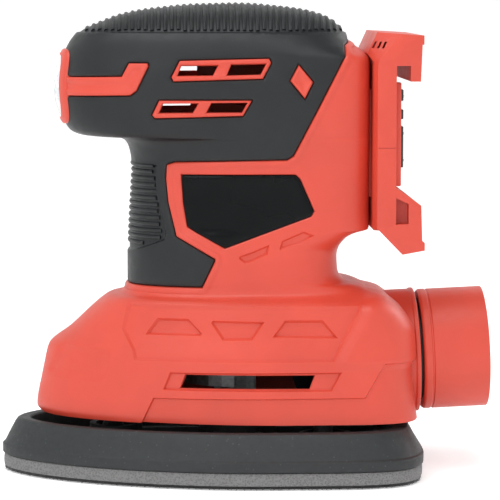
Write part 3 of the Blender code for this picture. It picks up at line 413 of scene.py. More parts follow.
def lofted(name, rings, capped=True):
    """Rings of equal length joined in order; the first and last are closed with a face."""
    count = len(rings[0])
    points = [p for ring in rings for p in ring]
    faces = []
    for r in range(len(rings) - 1):
        for i in range(count):
            j = (i + 1) % count
            faces.append((r * count + i, r * count + j, (r + 1) * count + j, (r + 1) * count + i))
    if capped:
        faces.append(tuple(range(count - 1, -1, -1)))
        faces.append(tuple((len(rings) - 1) * count + i for i in range(count)))
    return outward(mesh_object(name, points, faces))


def outward(obj, merge=0.0):
    """Turns the faces outwards, after merging doubles when a distance is given."""
    bm = bmesh.new()
    bm.from_mesh(obj.data)
    if merge:
        bmesh.ops.remove_doubles(bm, verts=bm.verts, dist=merge * MM)
    bmesh.ops.recalc_face_normals(bm, faces=bm.faces)
    bm.to_mesh(obj.data)
    bm.free()
    return obj


def turned(name, profile, place=None, segments=96):
    """A closed (radius, height) outline turned about Z, then put in its place."""
    rings = []
    for radius, height in profile:
        rings.append([(radius * math.cos(a), radius * math.sin(a), height)
                      for a in np.linspace(0, 2 * math.pi, segments, endpoint=False)])
    obj = outward(lofted(name, [*rings, rings[0]], capped=False), 0.001)
    if place is not None:
        obj.data.transform(place)
    return obj


def box(name, low, high):
    bm = bmesh.new()
    low, high = Vector(low) * MM, Vector(high) * MM
    place = Matrix.Translation((low + high) / 2) @ Matrix.Diagonal((*(high - low), 1))
    bmesh.ops.create_cube(bm, size=1, matrix=place)
    mesh = bpy.data.meshes.new(name)
    bm.to_mesh(mesh)
    bm.free()
    return new_object(name, mesh)


def plate(name, outline, near, far):
    """An (X, Z) outline with thickness along Y."""
    return lofted(name, [[(x, near, z) for x, z in outline], [(x, far, z) for x, z in outline]])


def rod(name, radius, low, high, centre, segments=32):
    rings = [[(*p, height) for p in circle(*centre, radius, segments)] for height in (low, high)]
    return lofted(name, rings)


def finished(obj, body, material, nodes=()):
    """A piece's last step: its material, its body and what it stands for."""
    obj.data.materials.clear()
    obj.data.materials.append(material)
    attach(obj, body)
    if nodes:
        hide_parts(*nodes)
    return obj


# ---- skins: pieces of the body's surface ------------------------------------------------
def skin(name, side, reliefs, region=None, holes=(), thickness=2.0, spacing=1.1, dropped=None):
    """A piece of the body's surface as a closed shell. Reliefs raise or sink it, region limits it,
    holes pierce it, and dropped says which other faces go."""
    lines = []
    for area, knots in reliefs:
        for depth, _ in knots:
            lines += [divided(line, spacing * 1.2) for line in area.rows(depth)]
    if region:
        lines += [divided(line, spacing * 1.2) for line in region.rows(0)]
    lines += [divided(hole, spacing * 1.2) for hole in holes]
    top = BODY.t[-1]
    fixed, edges = [], []
    for line in lines:
        start = len(fixed)
        fixed += [(u * UNROLLED, t) for u, t in BODY.unroll(line)]
        edges += [(start + i, start + (i + 1) % len(line)) for i in range(len(line))]
    border = divided([(-UNROLLED, 0), (UNROLLED, 0), (UNROLLED, top), (-UNROLLED, top)], spacing)
    start = len(fixed)
    fixed += border
    edges += [(start + i, start + (i + 1) % len(border)) for i in range(len(border))]
    points = fixed + spread(fixed, spacing, top)
    verts, _, faces, *_ = delaunay_2d_cdt([Vector(p) for p in points], edges, [], 0, 1e-5, False)
    flat = np.array([tuple(v) for v in verts])
    u, t = flat[:, 0] / UNROLLED, flat[:, 1]
    place, normal = BODY.place(u, t), BODY.outward(u, t)
    height = np.zeros(len(place))
    for area, knots in reliefs:
        depths, heights = zip(*knots)
        height += np.interp(area.depth(place[:, 0], place[:, 2]), depths, heights)
    layers = []
    for depth in (0, thickness):
        layer = place + normal * (height - depth)[:, None]
        layer[:, 1] = np.maximum(layer[:, 1], SPLIT) * side
        layers.append(layer)
    faces = np.array([f for f in faces if len(f) == 3])
    centre = place[faces].mean(axis=1)
    kept = np.ones(len(faces), bool)
    if region:
        kept &= region.depth(centre[:, 0], centre[:, 2]) > 0
    for hole in holes:
        kept &= inside_depth(hole, centre[:, 0], centre[:, 2]) < 0
    if dropped:
        kept &= ~dropped(centre)
    faces = faces[kept]
    if side == RIGHT:
        faces = faces[:, ::-1]
    return shaded(walled(name, *layers, faces), 32)


def walled(name, outer, inner, faces):
    """A closed shell: the outer faces, the same ones turned round on the inner points, and a rim."""
    count = len(outer)
    directed = {(int(a), int(b)) for face in faces for a, b in zip(face, np.roll(face, -1))}
    rim = [(b, a, a + count, b + count) for a, b in directed if (b, a) not in directed]
    backs = (faces[:, ::-1] + count).tolist()
    return mesh_object(name, np.vstack([outer, inner]), faces.tolist() + backs + sorted(rim), merge=0.003)


def spread(fixed, spacing, top):
    """Evenly spread points of the unrolled side that keep clear of the fixed ones."""
    cell = spacing * 0.5
    columns, rows = int(2 * UNROLLED / cell) + 3, int(top / cell) + 3
    taken = np.zeros((columns + 2, rows + 2), bool)
    for x, t in fixed:
        i, k = int((x + UNROLLED) / cell) + 1, int(t / cell) + 1
        taken[i - 1:i + 2, k - 1:k + 2] = True
    found = []
    for r, t in enumerate(np.arange(spacing, top - spacing / 2, spacing * 0.9)):
        for x in np.arange(-UNROLLED + spacing * (0.5 + 0.5 * (r % 2)), UNROLLED - spacing / 2, spacing):
            if not taken[int((x + UNROLLED) / cell) + 1, int(t / cell) + 1]:
                found.append((x, t))
    return found


def islands():
    return [*WINDOW_FRAMES, DIAMOND, STRIPE]


def screw_places():
    """(X, Z, height of the head's face along Y) of each clamshell screw, from the frame."""
    places = []
    for i in range(1, 8):
        low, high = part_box(f"housing_screw_{i}")
        middle = (low + high) / 2 / MM
        places.append((middle.x, middle.z, high.y / MM))
    return places


def screw_holes(radius):
    return [circle(x, z, radius) for x, z, _ in screw_places()]


def at_switch(centre):
    return ((centre[:, 0] < -50) & (centre[:, 1] < SWITCH_OPEN_Y)
            & (np.abs(centre[:, 2] - SWITCH_Z) < SWITCH_OPEN_Z - 0.6))


def at_port(centre):
    return (centre[:, 0] > 50) & (np.hypot(centre[:, 1], centre[:, 2] - PORT_Z) < DUCT_CLEAR + 1.2)


# ---- shader and geometry nodes ----------------------------------------------------------
def add(tree, kind, inputs=None, **settings):
    """One node with its settings; each input is a value or another node's output."""
    node = tree.nodes.new(kind)
    for key, value in settings.items():
        setattr(node, key, value)
    for key, value in (inputs or {}).items():
        if isinstance(value, bpy.types.NodeSocket):
            tree.links.new(value, node.inputs[key])
        elif isinstance(value, bpy.types.Node):
            tree.links.new(value.outputs[0], node.inputs[key])
        else:
            node.inputs[key].default_value = value
    return node


def linear(code, alpha=1.0):
    """An sRGB hex colour as linear values."""
    values = [int(code[i:i + 2], 16) / 255 for i in (1, 3, 5)]
    return (*[v / 12.92 if v <= 0.04045 else ((v + 0.055) / 1.055) ** 2.4 for v in values], alpha)


def blank(name, **values):
    """A new material with a Principled shader whose own sockets hold the given values."""
    material = bpy.data.materials.new(name)
    material.use_nodes = True
    shader = material.node_tree.nodes["Principled BSDF"]
    for key, value in values.items():
        shader.inputs[key.replace("_", " ")].default_value = value
    return material, material.node_tree, shader


def grain(tree, size, detail=3.0, stretch=None):
    """Noise whose lumps are size millimetres across, on the piece's own coordinates."""
    where = add(tree, "ShaderNodeTexCoord").outputs["Object"]
    if stretch:
        where = add(tree, "ShaderNodeMapping", {"Vector": where, "Scale": stretch}).outputs[0]
    return add(tree, "ShaderNodeTexNoise", {"Vector": where, "Scale": 1 / (size * MM), "Detail": detail,
                                            "Roughness": 0.55}).outputs[0]


def shades(tree, factor, *stops):
    """A colour ramp from (place, hex) stops."""
    ramp = add(tree, "ShaderNodeValToRGB", {"Fac": factor})
    elements = ramp.color_ramp.elements
    while len(elements) < len(stops):
        elements.new(0.5)
    for element, (place, code) in zip(elements, stops):
        element.position = place
        element.color = linear(code)
    return ramp.outputs["Color"]


def ranged(tree, value, low, high):
    return add(tree, "ShaderNodeMapRange", {"Value": value, "From Min": 0.3, "From Max": 0.7,
                                            "To Min": low, "To Max": high}).outputs[0]


def moulded(name, stops, patch, rough, grit, depth, **values):
    """A moulded polymer: colour that drifts over patches, and a fine spark-eroded grain.

    stops are its shades, patch the drift's size, rough the least and most roughness, grit the grain's
    size and depth its height, all in millimetres where they are lengths."""
    material, tree, shader = blank(name, **values)
    tree.links.new(shades(tree, grain(tree, patch), *stops), shader.inputs["Base Color"])
    tree.links.new(ranged(tree, grain(tree, patch / 6), *rough), shader.inputs["Roughness"])
    bump = add(tree, "ShaderNodeBump", {"Height": grain(tree, grit, 2), "Distance": depth * MM,
                                        "Strength": 0.6})
    tree.links.new(bump.outputs[0], shader.inputs["Normal"])
    return material


def metal(name, stops, rough, size, stretch, depth, metallic=1.0):
    """A worked metal: shades and fine lines left by the tool, stretched along their direction."""
    material, tree, shader = blank(name, Metallic=metallic)
    lines = grain(tree, size, 4, stretch)
    tree.links.new(shades(tree, lines, *stops), shader.inputs["Base Color"])
    tree.links.new(ranged(tree, lines, *rough), shader.inputs["Roughness"])
    bump = add(tree, "ShaderNodeBump", {"Height": lines, "Distance": depth * MM, "Strength": 0.4})
    tree.links.new(bump.outputs[0], shader.inputs["Normal"])
    return material


def make_materials(colours):
    """Every finish of the sander. The main ones take their colour from the settings."""
    def tone(colour, factor):
        """A setting's colour made a little lighter or darker, as hex."""
        srgb = [min(255, max(0, round(255 * (12.92 * v if v <= 0.0031308 else 1.055 * v ** (1 / 2.4) - 0.055)
                                      * factor))) for v in colour]
        return "#" + "".join(f"{v:02x}" for v in srgb)

    red, soft, platen, foam = (tuple(getattr(colours, key)) for key in ("red", "soft", "platen", "foam"))
    made = {}
    # Injection-moulded ABS with a fine spark-eroded texture: a satin sheen that breaks up highlights.
    made["abs_red"] = moulded("spark_textured_red_abs", [(0.35, tone(red, 0.975)), (0.65, tone(red, 1.015))],
                              25, (0.4, 0.5), 0.35, 0.02, IOR=1.53)
    # Over-moulded thermoplastic elastomer: almost matt, a little lighter where hands have rubbed it.
    made["tpe_black"] = moulded("soft_touch_black_tpe", [(0.3, tone(soft, 0.92)), (0.7, tone(soft, 1.12))],
                                18, (0.4, 0.52), 0.3, 0.02, IOR=1.42)
    # Lacquered polycarbonate plate: deep black with a faint orange peel and hardly any grain. Its IOR is
    # set below the plastic's own, so that the plate stays as black as it looks under a studio light.
    made["lacquer_black"] = moulded("lacquered_black_polycarbonate", [(0.3, "#050708"), (0.7, "#0b0d0e")],
                                    30, (0.07, 0.12), 1.6, 0.004, IOR=1.22)
    # Glass-filled nylon: dull dark grey with pale flecks of fibre, drawn coarse enough to show.
    made["nylon_grey"] = flecked("glass_filled_nylon", tone(platen, 0.94), tone(platen, 1.08), "#7d8588")
    made["nylon_black"] = moulded("black_nylon", [(0.3, "#141617"), (0.7, "#1e2122")], 12, (0.42, 0.55),
                                  0.3, 0.02, IOR=1.53)
    made["foam_grey"] = foamed("closed_cell_foam", tone(foam, 0.86), tone(foam, 1.1))
    # Woven polyamide hook tape: dead black, rough, with a dull fibre sheen.
    made["hook_tape"] = moulded("woven_hook_tape", [(0.3, "#090909"), (0.7, "#1c1c1c")], 1.2, (0.8, 0.95),
                                0.5, 0.12, Sheen_Weight=0.25)
    made["silicone"] = silicone("milky_silicone")
    # Zinc-plated pressed steel: bright, cool, with faint rolling lines.
    made["steel_plated"] = metal("zinc_plated_steel", [(0.3, "#9a9ea3"), (0.7, "#c2c6ca")], (0.28, 0.42),
                                 2.5, (1, 1, 0.15), 0.01)
    # Ground bearing steel: darker and smoother, with lines round the ring.
    made["steel_ground"] = metal("ground_bearing_steel", [(0.3, "#868a90"), (0.7, "#aeb2b8")], (0.14, 0.26),
                                 1.0, (1, 1, 6), 0.004)
    # Black-oxidised screws: dark with a dull metal glint.
    made["steel_black"] = metal("black_oxidised_steel", [(0.3, "#26282a"), (0.7, "#3b3e41")], (0.32, 0.46),
                                1.0, (1, 1, 1), 0.01)
    # Stacked silicon-steel laminations: grey with close dark lines across the stack.
    made["laminations"] = metal("stacked_silicon_steel", [(0.35, "#4f5357"), (0.65, "#8d9297")],
                                (0.35, 0.5), 0.9, (0.05, 0.05, 1), 0.06)
    # Enamelled copper wire: warm red-brown, with the turns' ridges.
    made["copper_wire"] = metal("enamelled_copper_wire", [(0.3, "#8a4a26"), (0.7, "#c27a45")], (0.25, 0.4),
                                0.7, (1, 1, 0.2), 0.1)
    made["copper"] = metal("turned_copper", [(0.3, "#a8653c"), (0.7, "#d1905f")], (0.2, 0.32), 0.8,
                           (1, 1, 5), 0.01)
    # Die-cast zinc: pale grey with a dull, slightly cloudy skin.
    made["zinc_cast"] = metal("die_cast_zinc", [(0.3, "#85888a"), (0.7, "#a9acae")], (0.42, 0.6), 1.5,
                              (1, 1, 1), 0.04, 0.9)
    made["nickel"] = metal("nickel_plated_brass", [(0.3, "#b9b5ab"), (0.7, "#dcd8cd")], (0.16, 0.28), 0.8,
                           (1, 4, 1), 0.004)
    made["ferrite"] = moulded("sintered_ferrite", [(0.3, "#232426"), (0.7, "#34363a")], 3, (0.5, 0.65), 0.4,
                              0.03)
    made["carbon"] = moulded("pressed_carbon", [(0.3, "#141414"), (0.7, "#232323")], 1.5, (0.45, 0.65), 0.3,
                             0.03)
    made["rubber"] = moulded("moulded_rubber", [(0.3, "#151515"), (0.7, "#222222")], 8, (0.6, 0.75), 0.4,
                             0.04)
    made["pvc_red"] = moulded("red_pvc_insulation", [(0.3, "#a31c18"), (0.7, "#bb2620")], 6, (0.35, 0.45),
                              0.5, 0.01)
    made["pvc_black"] = moulded("black_pvc_insulation", [(0.3, "#121212"), (0.7, "#1c1c1c")], 6,
                                (0.35, 0.45), 0.5, 0.01)
    return made


def flecked(name, dark, light, fleck):
    """Glass-filled nylon: a clouded ground with pale flecks two millimetres apart."""
    material, tree, shader = blank(name, IOR=1.53)
    ground = shades(tree, grain(tree, 9), (0.3, dark), (0.7, light))
    where = add(tree, "ShaderNodeTexCoord").outputs["Object"]
    spots = add(tree, "ShaderNodeTexVoronoi", {"Vector": where, "Scale": 1 / (2.2 * MM)},
                feature="F1").outputs["Distance"]
    shown = add(tree, "ShaderNodeMapRange", {"Value": spots, "From Min": 0.05, "From Max": 0.16,
                                             "To Min": 0.2, "To Max": 0.0}).outputs[0]
    mix = add(tree, "ShaderNodeMixRGB", {"Fac": shown, "Color1": ground, "Color2": linear(fleck)})
    tree.links.new(mix.outputs[0], shader.inputs["Base Color"])
    tree.links.new(ranged(tree, grain(tree, 2), 0.5, 0.64), shader.inputs["Roughness"])
    bump = add(tree, "ShaderNodeBump", {"Height": grain(tree, 0.4, 2), "Distance": 0.04 * MM,
                                        "Strength": 0.7})
    tree.links.new(bump.outputs[0], shader.inputs["Normal"])
    return material


def foamed(name, dark, light):
    """Closed-cell foam: a grey skin of small burst cells, each about half a millimetre across."""
    material, tree, shader = blank(name, IOR=1.45)
    where = add(tree, "ShaderNodeTexCoord").outputs["Object"]
    cells = add(tree, "ShaderNodeTexVoronoi", {"Vector": where, "Scale": 1 / (0.7 * MM)},
                feature="F1").outputs["Distance"]
    tree.links.new(shades(tree, cells, (0.1, dark), (0.6, light)), shader.inputs["Base Color"])
    tree.links.new(ranged(tree, grain(tree, 1.5), 0.8, 0.95), shader.inputs["Roughness"])
    bump = add(tree, "ShaderNodeBump", {"Height": cells, "Distance": 0.25 * MM, "Strength": 0.8})
    tree.links.new(bump.outputs[0], shader.inputs["Normal"])
    return material


def silicone(name):
    """Clear silicone gone milky: light scatters in it, and what is behind shows only as a shadow."""
    material, tree, shader = blank(name, IOR=1.43, Transmission_Weight=0.12, Subsurface_Weight=0.3,
                                   Subsurface_Scale=0.002)
    cloud = grain(tree, 5)
    tree.links.new(shades(tree, cloud, (0.3, "#e3e4e4"), (0.7, "#f4f5f5")), shader.inputs["Base Color"])
    tree.links.new(ranged(tree, cloud, 0.22, 0.34), shader.inputs["Roughness"])
    bump = add(tree, "ShaderNodeBump", {"Height": grain(tree, 1.2, 2), "Distance": 0.02 * MM,
                                        "Strength": 0.4})
    tree.links.new(bump.outputs[0], shader.inputs["Normal"])
    return material


def geometry_tree(name, sockets):
    """An empty Geometry Nodes tree with named inputs, and its input node."""
    tree = bpy.data.node_groups.new(name, "GeometryNodeTree")
    tree.interface.new_socket("Geometry", in_out="OUTPUT", socket_type="NodeSocketGeometry")
    for label, kind in sockets.items():
        tree.interface.new_socket(label, in_out="INPUT", socket_type="NodeSocket" + kind)
    return tree, add(tree, "NodeGroupInput").outputs


def grown(name, tree, values):
    """The plain mesh that a tree makes from its named inputs."""
    seed = new_object(name, bpy.data.meshes.new(name))
    modifier = seed.modifiers.new("grow", "NODES")
    modifier.node_group = tree
    for item in tree.interface.items_tree:
        if item.in_out == "INPUT":
            modifier[item.identifier] = values[item.name]
    return applied(seed)


def ended(tree, geometry, material):
    """The tree's last nodes: smooth shading, real geometry and its material."""
    smooth_shaded = add(tree, "GeometryNodeSetShadeSmooth", {"Geometry": geometry})
    real = add(tree, "GeometryNodeRealizeInstances", {"Geometry": smooth_shaded})
    painted = add(tree, "GeometryNodeSetMaterial", {"Geometry": real, "Material": material})
    add(tree, "NodeGroupOutput", {"Geometry": painted})


def rib_tree():
    """Ribs that lie on a surface: arcs round a line of points, cast onto it and thickened."""
    tree, given = geometry_tree("grip_ribs", {
        "Surface": "Object", "Count": "Int", "First": "Vector", "Step": "Vector", "Turn": "Rotation",
        "From": "Float", "Sweep": "Float", "Reach": "Float", "Rib radius": "Float", "Sink": "Float",
        "Limit": "Vector", "Limit distance": "Float", "Second limit": "Vector",
        "Second distance": "Float", "Taper": "Float", "Material": "Material"})
    line = add(tree, "GeometryNodeMeshLine", {"Count": given["Count"], "Start Location": given["First"],
                                              "Offset": given["Step"]}, mode="OFFSET")
    arc = add(tree, "GeometryNodeCurveArc", {"Resolution": 64, "Radius": given["Reach"],
                                             "Start Angle": given["From"], "Sweep Angle": given["Sweep"]},
              mode="RADIUS")
    turned_arc = add(tree, "GeometryNodeTransform", {"Geometry": arc, "Rotation": given["Turn"]})
    arcs = add(tree, "GeometryNodeInstanceOnPoints", {"Points": line, "Instance": turned_arc})
    real = add(tree, "GeometryNodeRealizeInstances", {"Geometry": arcs})
    place = add(tree, "GeometryNodeInputPosition")

    def vector(operation, *values):
        inputs = dict(enumerate(values))
        return add(tree, "ShaderNodeVectorMath", inputs, operation=operation)

    offset = vector("SUBTRACT", place, given["First"])
    along = vector("NORMALIZE", given["Step"])
    share = vector("DOT_PRODUCT", offset, along).outputs["Value"]
    core = add(tree, "ShaderNodeVectorMath", {0: along, "Scale": share}, operation="SCALE")
    radial = vector("NORMALIZE", vector("SUBTRACT", offset, core))
    inward = add(tree, "ShaderNodeVectorMath", {0: radial, "Scale": -1.0}, operation="SCALE")
    surface = add(tree, "GeometryNodeObjectInfo", {"Object": given["Surface"]},
                  transform_space="RELATIVE").outputs["Geometry"]
    ray = add(tree, "GeometryNodeRaycast", {"Target Geometry": surface, "Source Position": place,
                                            "Ray Direction": inward, "Ray Length": given["Reach"]})
    missed = add(tree, "FunctionNodeBooleanMath", {0: ray.outputs["Is Hit"]}, operation="NOT")
    met = add(tree, "GeometryNodeDeleteGeometry", {"Geometry": real, "Selection": missed},
              domain="POINT")
    sunk = add(tree, "ShaderNodeVectorMath", {0: inward, "Scale": given["Sink"]}, operation="SCALE")
    seat = vector("ADD", ray.outputs["Hit Position"], sunk)
    laid = add(tree, "GeometryNodeSetPosition", {"Geometry": met, "Position": seat})
    margins = []
    for label, distance in (("Limit", "Limit distance"), ("Second limit", "Second distance")):
        reach = vector("DOT_PRODUCT", place, given[label]).outputs["Value"]
        margins.append(add(tree, "ShaderNodeMath", {0: given[distance], 1: reach}, operation="SUBTRACT"))
    margin = add(tree, "ShaderNodeMath", {0: margins[0], 1: margins[1]}, operation="MINIMUM")
    beyond = add(tree, "FunctionNodeCompare", {"A": margin, "B": 0.0}, operation="LESS_THAN")
    clipped = add(tree, "GeometryNodeDeleteGeometry", {"Geometry": laid, "Selection": beyond},
                  domain="POINT")
    size = add(tree, "ShaderNodeMapRange", {"Value": margin, "From Min": 0.0, "From Max": given["Taper"],
                                            "To Min": 0.45, "To Max": 1.0})
    tapered = add(tree, "GeometryNodeSetCurveRadius", {"Curve": clipped, "Radius": size})
    profile = add(tree, "GeometryNodeCurvePrimitiveCircle", {"Resolution": 8, "Radius": given["Rib radius"]},
                  mode="RADIUS")
    ribs = add(tree, "GeometryNodeCurveToMesh", {"Curve": tapered, "Profile Curve": profile,
                                                 "Fill Caps": True})
    ended(tree, ribs, given["Material"])
    return tree


def scatter_tree():
    """Copies of a small shape spread over a surface, each turned at random about Z."""
    tree, given = geometry_tree("hook_field", {
        "Surface": "Object", "Shape": "Object", "Gap": "Float", "Density": "Float", "Seed": "Int",
        "Material": "Material"})
    surface = add(tree, "GeometryNodeObjectInfo", {"Object": given["Surface"]},
                  transform_space="RELATIVE").outputs["Geometry"]
    shape = add(tree, "GeometryNodeObjectInfo", {"Object": given["Shape"]},
                transform_space="ORIGINAL").outputs["Geometry"]
    points = add(tree, "GeometryNodeDistributePointsOnFaces", {
        "Mesh": surface, "Distance Min": given["Gap"], "Density Max": given["Density"],
        "Seed": given["Seed"]}, distribute_method="POISSON")
    turn = add(tree, "FunctionNodeRandomValue", {"Min": (-0.25, -0.25, 0.0), "Max": (0.25, 0.25, 6.28),
                                                 "Seed": given["Seed"]}, data_type="FLOAT_VECTOR")
    size = add(tree, "FunctionNodeRandomValue", {2: 0.8, 3: 1.0, "Seed": given["Seed"]}, data_type="FLOAT")
    copies = add(tree, "GeometryNodeInstanceOnPoints", {
        "Points": points.outputs["Points"], "Instance": shape, "Rotation": turn.outputs[0],
        "Scale": size.outputs[1]})
    ended(tree, copies, given["Material"])
    return tree


def placed_tree():
    """One shape at every vertex of a guide mesh."""
    tree, given = geometry_tree("screw_set", {"Guide": "Object", "Shape": "Object", "Turn": "Rotation",
                                              "Material": "Material"})
    guide = add(tree, "GeometryNodeObjectInfo", {"Object": given["Guide"]},
                transform_space="ORIGINAL").outputs["Geometry"]
    shape = add(tree, "GeometryNodeObjectInfo", {"Object": given["Shape"]},
                transform_space="ORIGINAL").outputs["Geometry"]
    copies = add(tree, "GeometryNodeInstanceOnPoints", {"Points": guide, "Instance": shape,
                                                        "Rotation": given["Turn"]})
    ended(tree, copies, given["Material"])
    return tree


# ---- settings a user would change -------------------------------------------------------
class SanderSizes(bpy.types.PropertyGroup):
    """Sizes of the details, in millimetres unless a unit says otherwise."""
    spacing: FloatProperty(name="Surface spacing", description="Edge length of the moulded surfaces",
                           default=1.1, min=0.5, max=4)
    rib_pitch: FloatProperty(name="Rib pitch", description="From one grip rib to the next", default=2.29)
    rib_radius: FloatProperty(name="Rib radius", description="Half the width of a grip rib", default=0.79)
    top_ribs: IntProperty(name="Top ribs", description="How many ribs cross the top", default=41)
    neck_ribs: IntProperty(name="Neck ribs", description="How many ribs ring the neck", default=14)
    hook_gap: FloatProperty(name="Hook gap", description="Least gap between two hooks", default=1.35)
    lens: FloatProperty(name="Lens", description="Focal length of the camera", default=188.5,
                        subtype="DISTANCE_CAMERA")


class SanderColours(bpy.types.PropertyGroup):
    """Colours of the main finishes."""
    red: FloatVectorProperty(name="Housing", description="Moulded housing", subtype="COLOR",
                             default=linear("#cd4431")[:3], min=0, max=1)
    soft: FloatVectorProperty(name="Grip", description="Soft overmould", subtype="COLOR",
                              default=linear("#16191b")[:3], min=0, max=1)
    platen: FloatVectorProperty(name="Platen", description="Pad carrier", subtype="COLOR",
                                default=linear("#181d1f")[:3], min=0, max=1)
    foam: FloatVectorProperty(name="Foam", description="Pad foam", subtype="COLOR",
                              default=linear("#6e6e6e")[:3], min=0, max=1)


MATERIALS = {}


def sizes():
    """The scene's sizes."""
    return bpy.context.scene.sander_sizes


def finish(key):
    if not MATERIALS:
        MATERIALS.update(make_materials(bpy.context.scene.sander_colours))
    return MATERIALS[key]


def baffle():
    """The moulded wall that keeps the air from the windows away from the battery's leads."""
    return box("baffle", (-13, 22.5, 121), (36, 24, 152))


def bore_liner(x, z, head_face):
    """The wall of a screw's bore, from its seat out to just under the surface."""
    rings = []
    for wall, sink in ((3.2, 1.3), (4.0, 2.6)):
        ring = circle(x, z, wall, 32)
        u, t = np.array(BODY.unroll(ring)).T
        surface = BODY.place(u, t)[:, 1] - sink
        rings.append([(a, max(y, head_face - 2), b) for (a, b), y in zip(ring, surface)])
        rings.append([(a, head_face - 3, b) for a, b in ring])
    closed = [rings[0], rings[1], rings[3], rings[2], rings[0]]
    return merged(lofted("liner", closed, capped=False))


class SANDER_OT_housing(bpy.types.Operator):
    """Makes the two halves of the moulded housing"""
    bl_idname = "sander.housing"
    bl_label = "Housing halves"

    def execute(self, context):
        for word, side in SIDES.items():
            grip = Region(GRIP_AREA, islands())
            reliefs = [(grip, GRIP_SEAT)] + [(Region(line), knots) for line, knots in HOUSING_RELIEFS]
            holes = [*WINDOWS, SIDE_VENT]
            if side == RIGHT:
                holes += screw_holes(3.2)
            half = skin(f"housing_{word}", side, reliefs, None, holes, SHELL_T, sizes().spacing,
                        lambda centre: at_switch(centre) | at_port(centre))
            extras = [port_neck(side)]
            if side == RIGHT:
                extras.append(baffle())
                extras += [bore_liner(*place) for place in screw_places()]
            shaded(joined(half, *extras), 32)
            finished(half, "housing", finish("abs_red"), [f"housing_{word}"])
        return {"FINISHED"}


def port_place():
    place = Matrix.Translation(Vector((PORT_X, 0, PORT_Z)) * MM)
    return place @ Matrix.Rotation(math.pi / 2 - PORT_TILT, 4, "Y")


def port_neck(side):
    """Half of the short neck round the dust duct, with a stepped and rounded end."""
    outline = filleted([(22.3, 1.4), (22.3, 0), (21.9, -0.4), (21.9, -17), (DUCT_CLEAR, -17),
                        (DUCT_CLEAR, 1.4)], 0.5)
    rings = []
    start = -math.pi / 2 if side == RIGHT else math.pi / 2
    for angle in np.linspace(start, start + math.pi, 60):
        rings.append([(r * math.cos(angle + math.pi / 2), r * math.sin(angle + math.pi / 2), h)
                      for r, h in outline])
    half = lofted("neck", rings)
    half.data.transform(port_place())
    if sum(v.co.y for v in half.data.vertices) * side < 0:
        half.data.transform(Matrix.Scale(-1, 4, (0, 1, 0)))
        outward(half)
    return half


class SANDER_OT_grip(bpy.types.Operator):
    """Makes the two halves of the soft overmould with their ribs"""
    bl_idname = "sander.grip"
    bl_label = "Soft overmould"

    def execute(self, context):
        tree = rib_tree()
        for word, side in SIDES.items():
            region = Region(resized(GRIP_AREA, -0.15), [resized(island, 0.15) for island in islands()])
            reliefs = [(region, GRIP_EDGE), (Region(RIB_BED), [(-0.3, 0), (0.4, -0.7)]),
                       (Region(NECK_BED), [(-0.25, 0), (0.25, -0.8)])]
            holes = screw_holes(3.6) if side == RIGHT else []
            half = skin(f"grip_overmould_{word}", side, reliefs, region, holes, GRIP_T, sizes().spacing,
                        at_switch)
            joined(half, self.top_ribs(tree, half, side), self.neck_ribs(tree, half, side))
            shaded(half, 40)
            finished(half, "housing", finish("tpe_black"), [f"grip_overmould_{word}"])
        return {"FINISHED"}

    def top_ribs(self, tree, surface, side):
        pitch = sizes().rib_pitch * MM
        return grown("top_ribs", tree, {
            "Surface": surface, "Count": sizes().top_ribs, "First": (-0.0547, 0, 0.118),
            "Step": (pitch, 0, 0), "Turn": (0, -math.pi / 2, 0),
            "From": side * 0.012 if side == RIGHT else -0.9, "Sweep": 0.888, "Reach": 0.07,
            "Rib radius": sizes().rib_radius * MM, "Sink": 0.00018, "Limit": (0, 0, -1),
            "Limit distance": -0.1573, "Second limit": (1, 0, 0), "Second distance": 1.0,
            "Taper": 0.0022, "Material": finish("tpe_black")})

    def neck_ribs(self, tree, surface, side):
        pitch = sizes().rib_pitch * MM
        slope = Vector((1, 0, 0.115)).normalized()
        edge = Vector((-0.0262, 0, 0.0862)).dot(slope)
        under = Vector((0.37, 0, -0.93)).normalized()
        return grown("neck_ribs", tree, {
            "Surface": surface, "Count": sizes().neck_ribs, "First": (-0.004, 0, 0.0806),
            "Step": (0, 0, pitch), "Turn": (0, 0, 0),
            "From": math.pi - 1.6 if side == RIGHT else math.pi + 0.01, "Sweep": 1.59, "Reach": 0.06,
            "Rib radius": sizes().rib_radius * MM, "Sink": 0.00006, "Limit": tuple(slope),
            "Limit distance": edge, "Second limit": tuple(under),
            "Second distance": Vector((-0.0257, 0, 0.0856)).dot(under), "Taper": 0.002,
            "Material": finish("tpe_black")})


class SANDER_OT_badges(bpy.types.Operator):
    """Makes the blank glossy plate of each side"""
    bl_idname = "sander.badges"
    bl_label = "Side plates"

    def execute(self, context):
        for word, side in SIDES.items():
            region = Region(resized(filleted(BADGE_AREA, 1.2, 3), -0.18))
            plate_half = skin(f"badge_{word}", side, [(region, BADGE_EDGE)], region, (), BADGE_T,
                              sizes().spacing * 1.6)
            finished(plate_half, "housing", finish("lacquer_black"), [f"badge_{word}"])
        return {"FINISHED"}


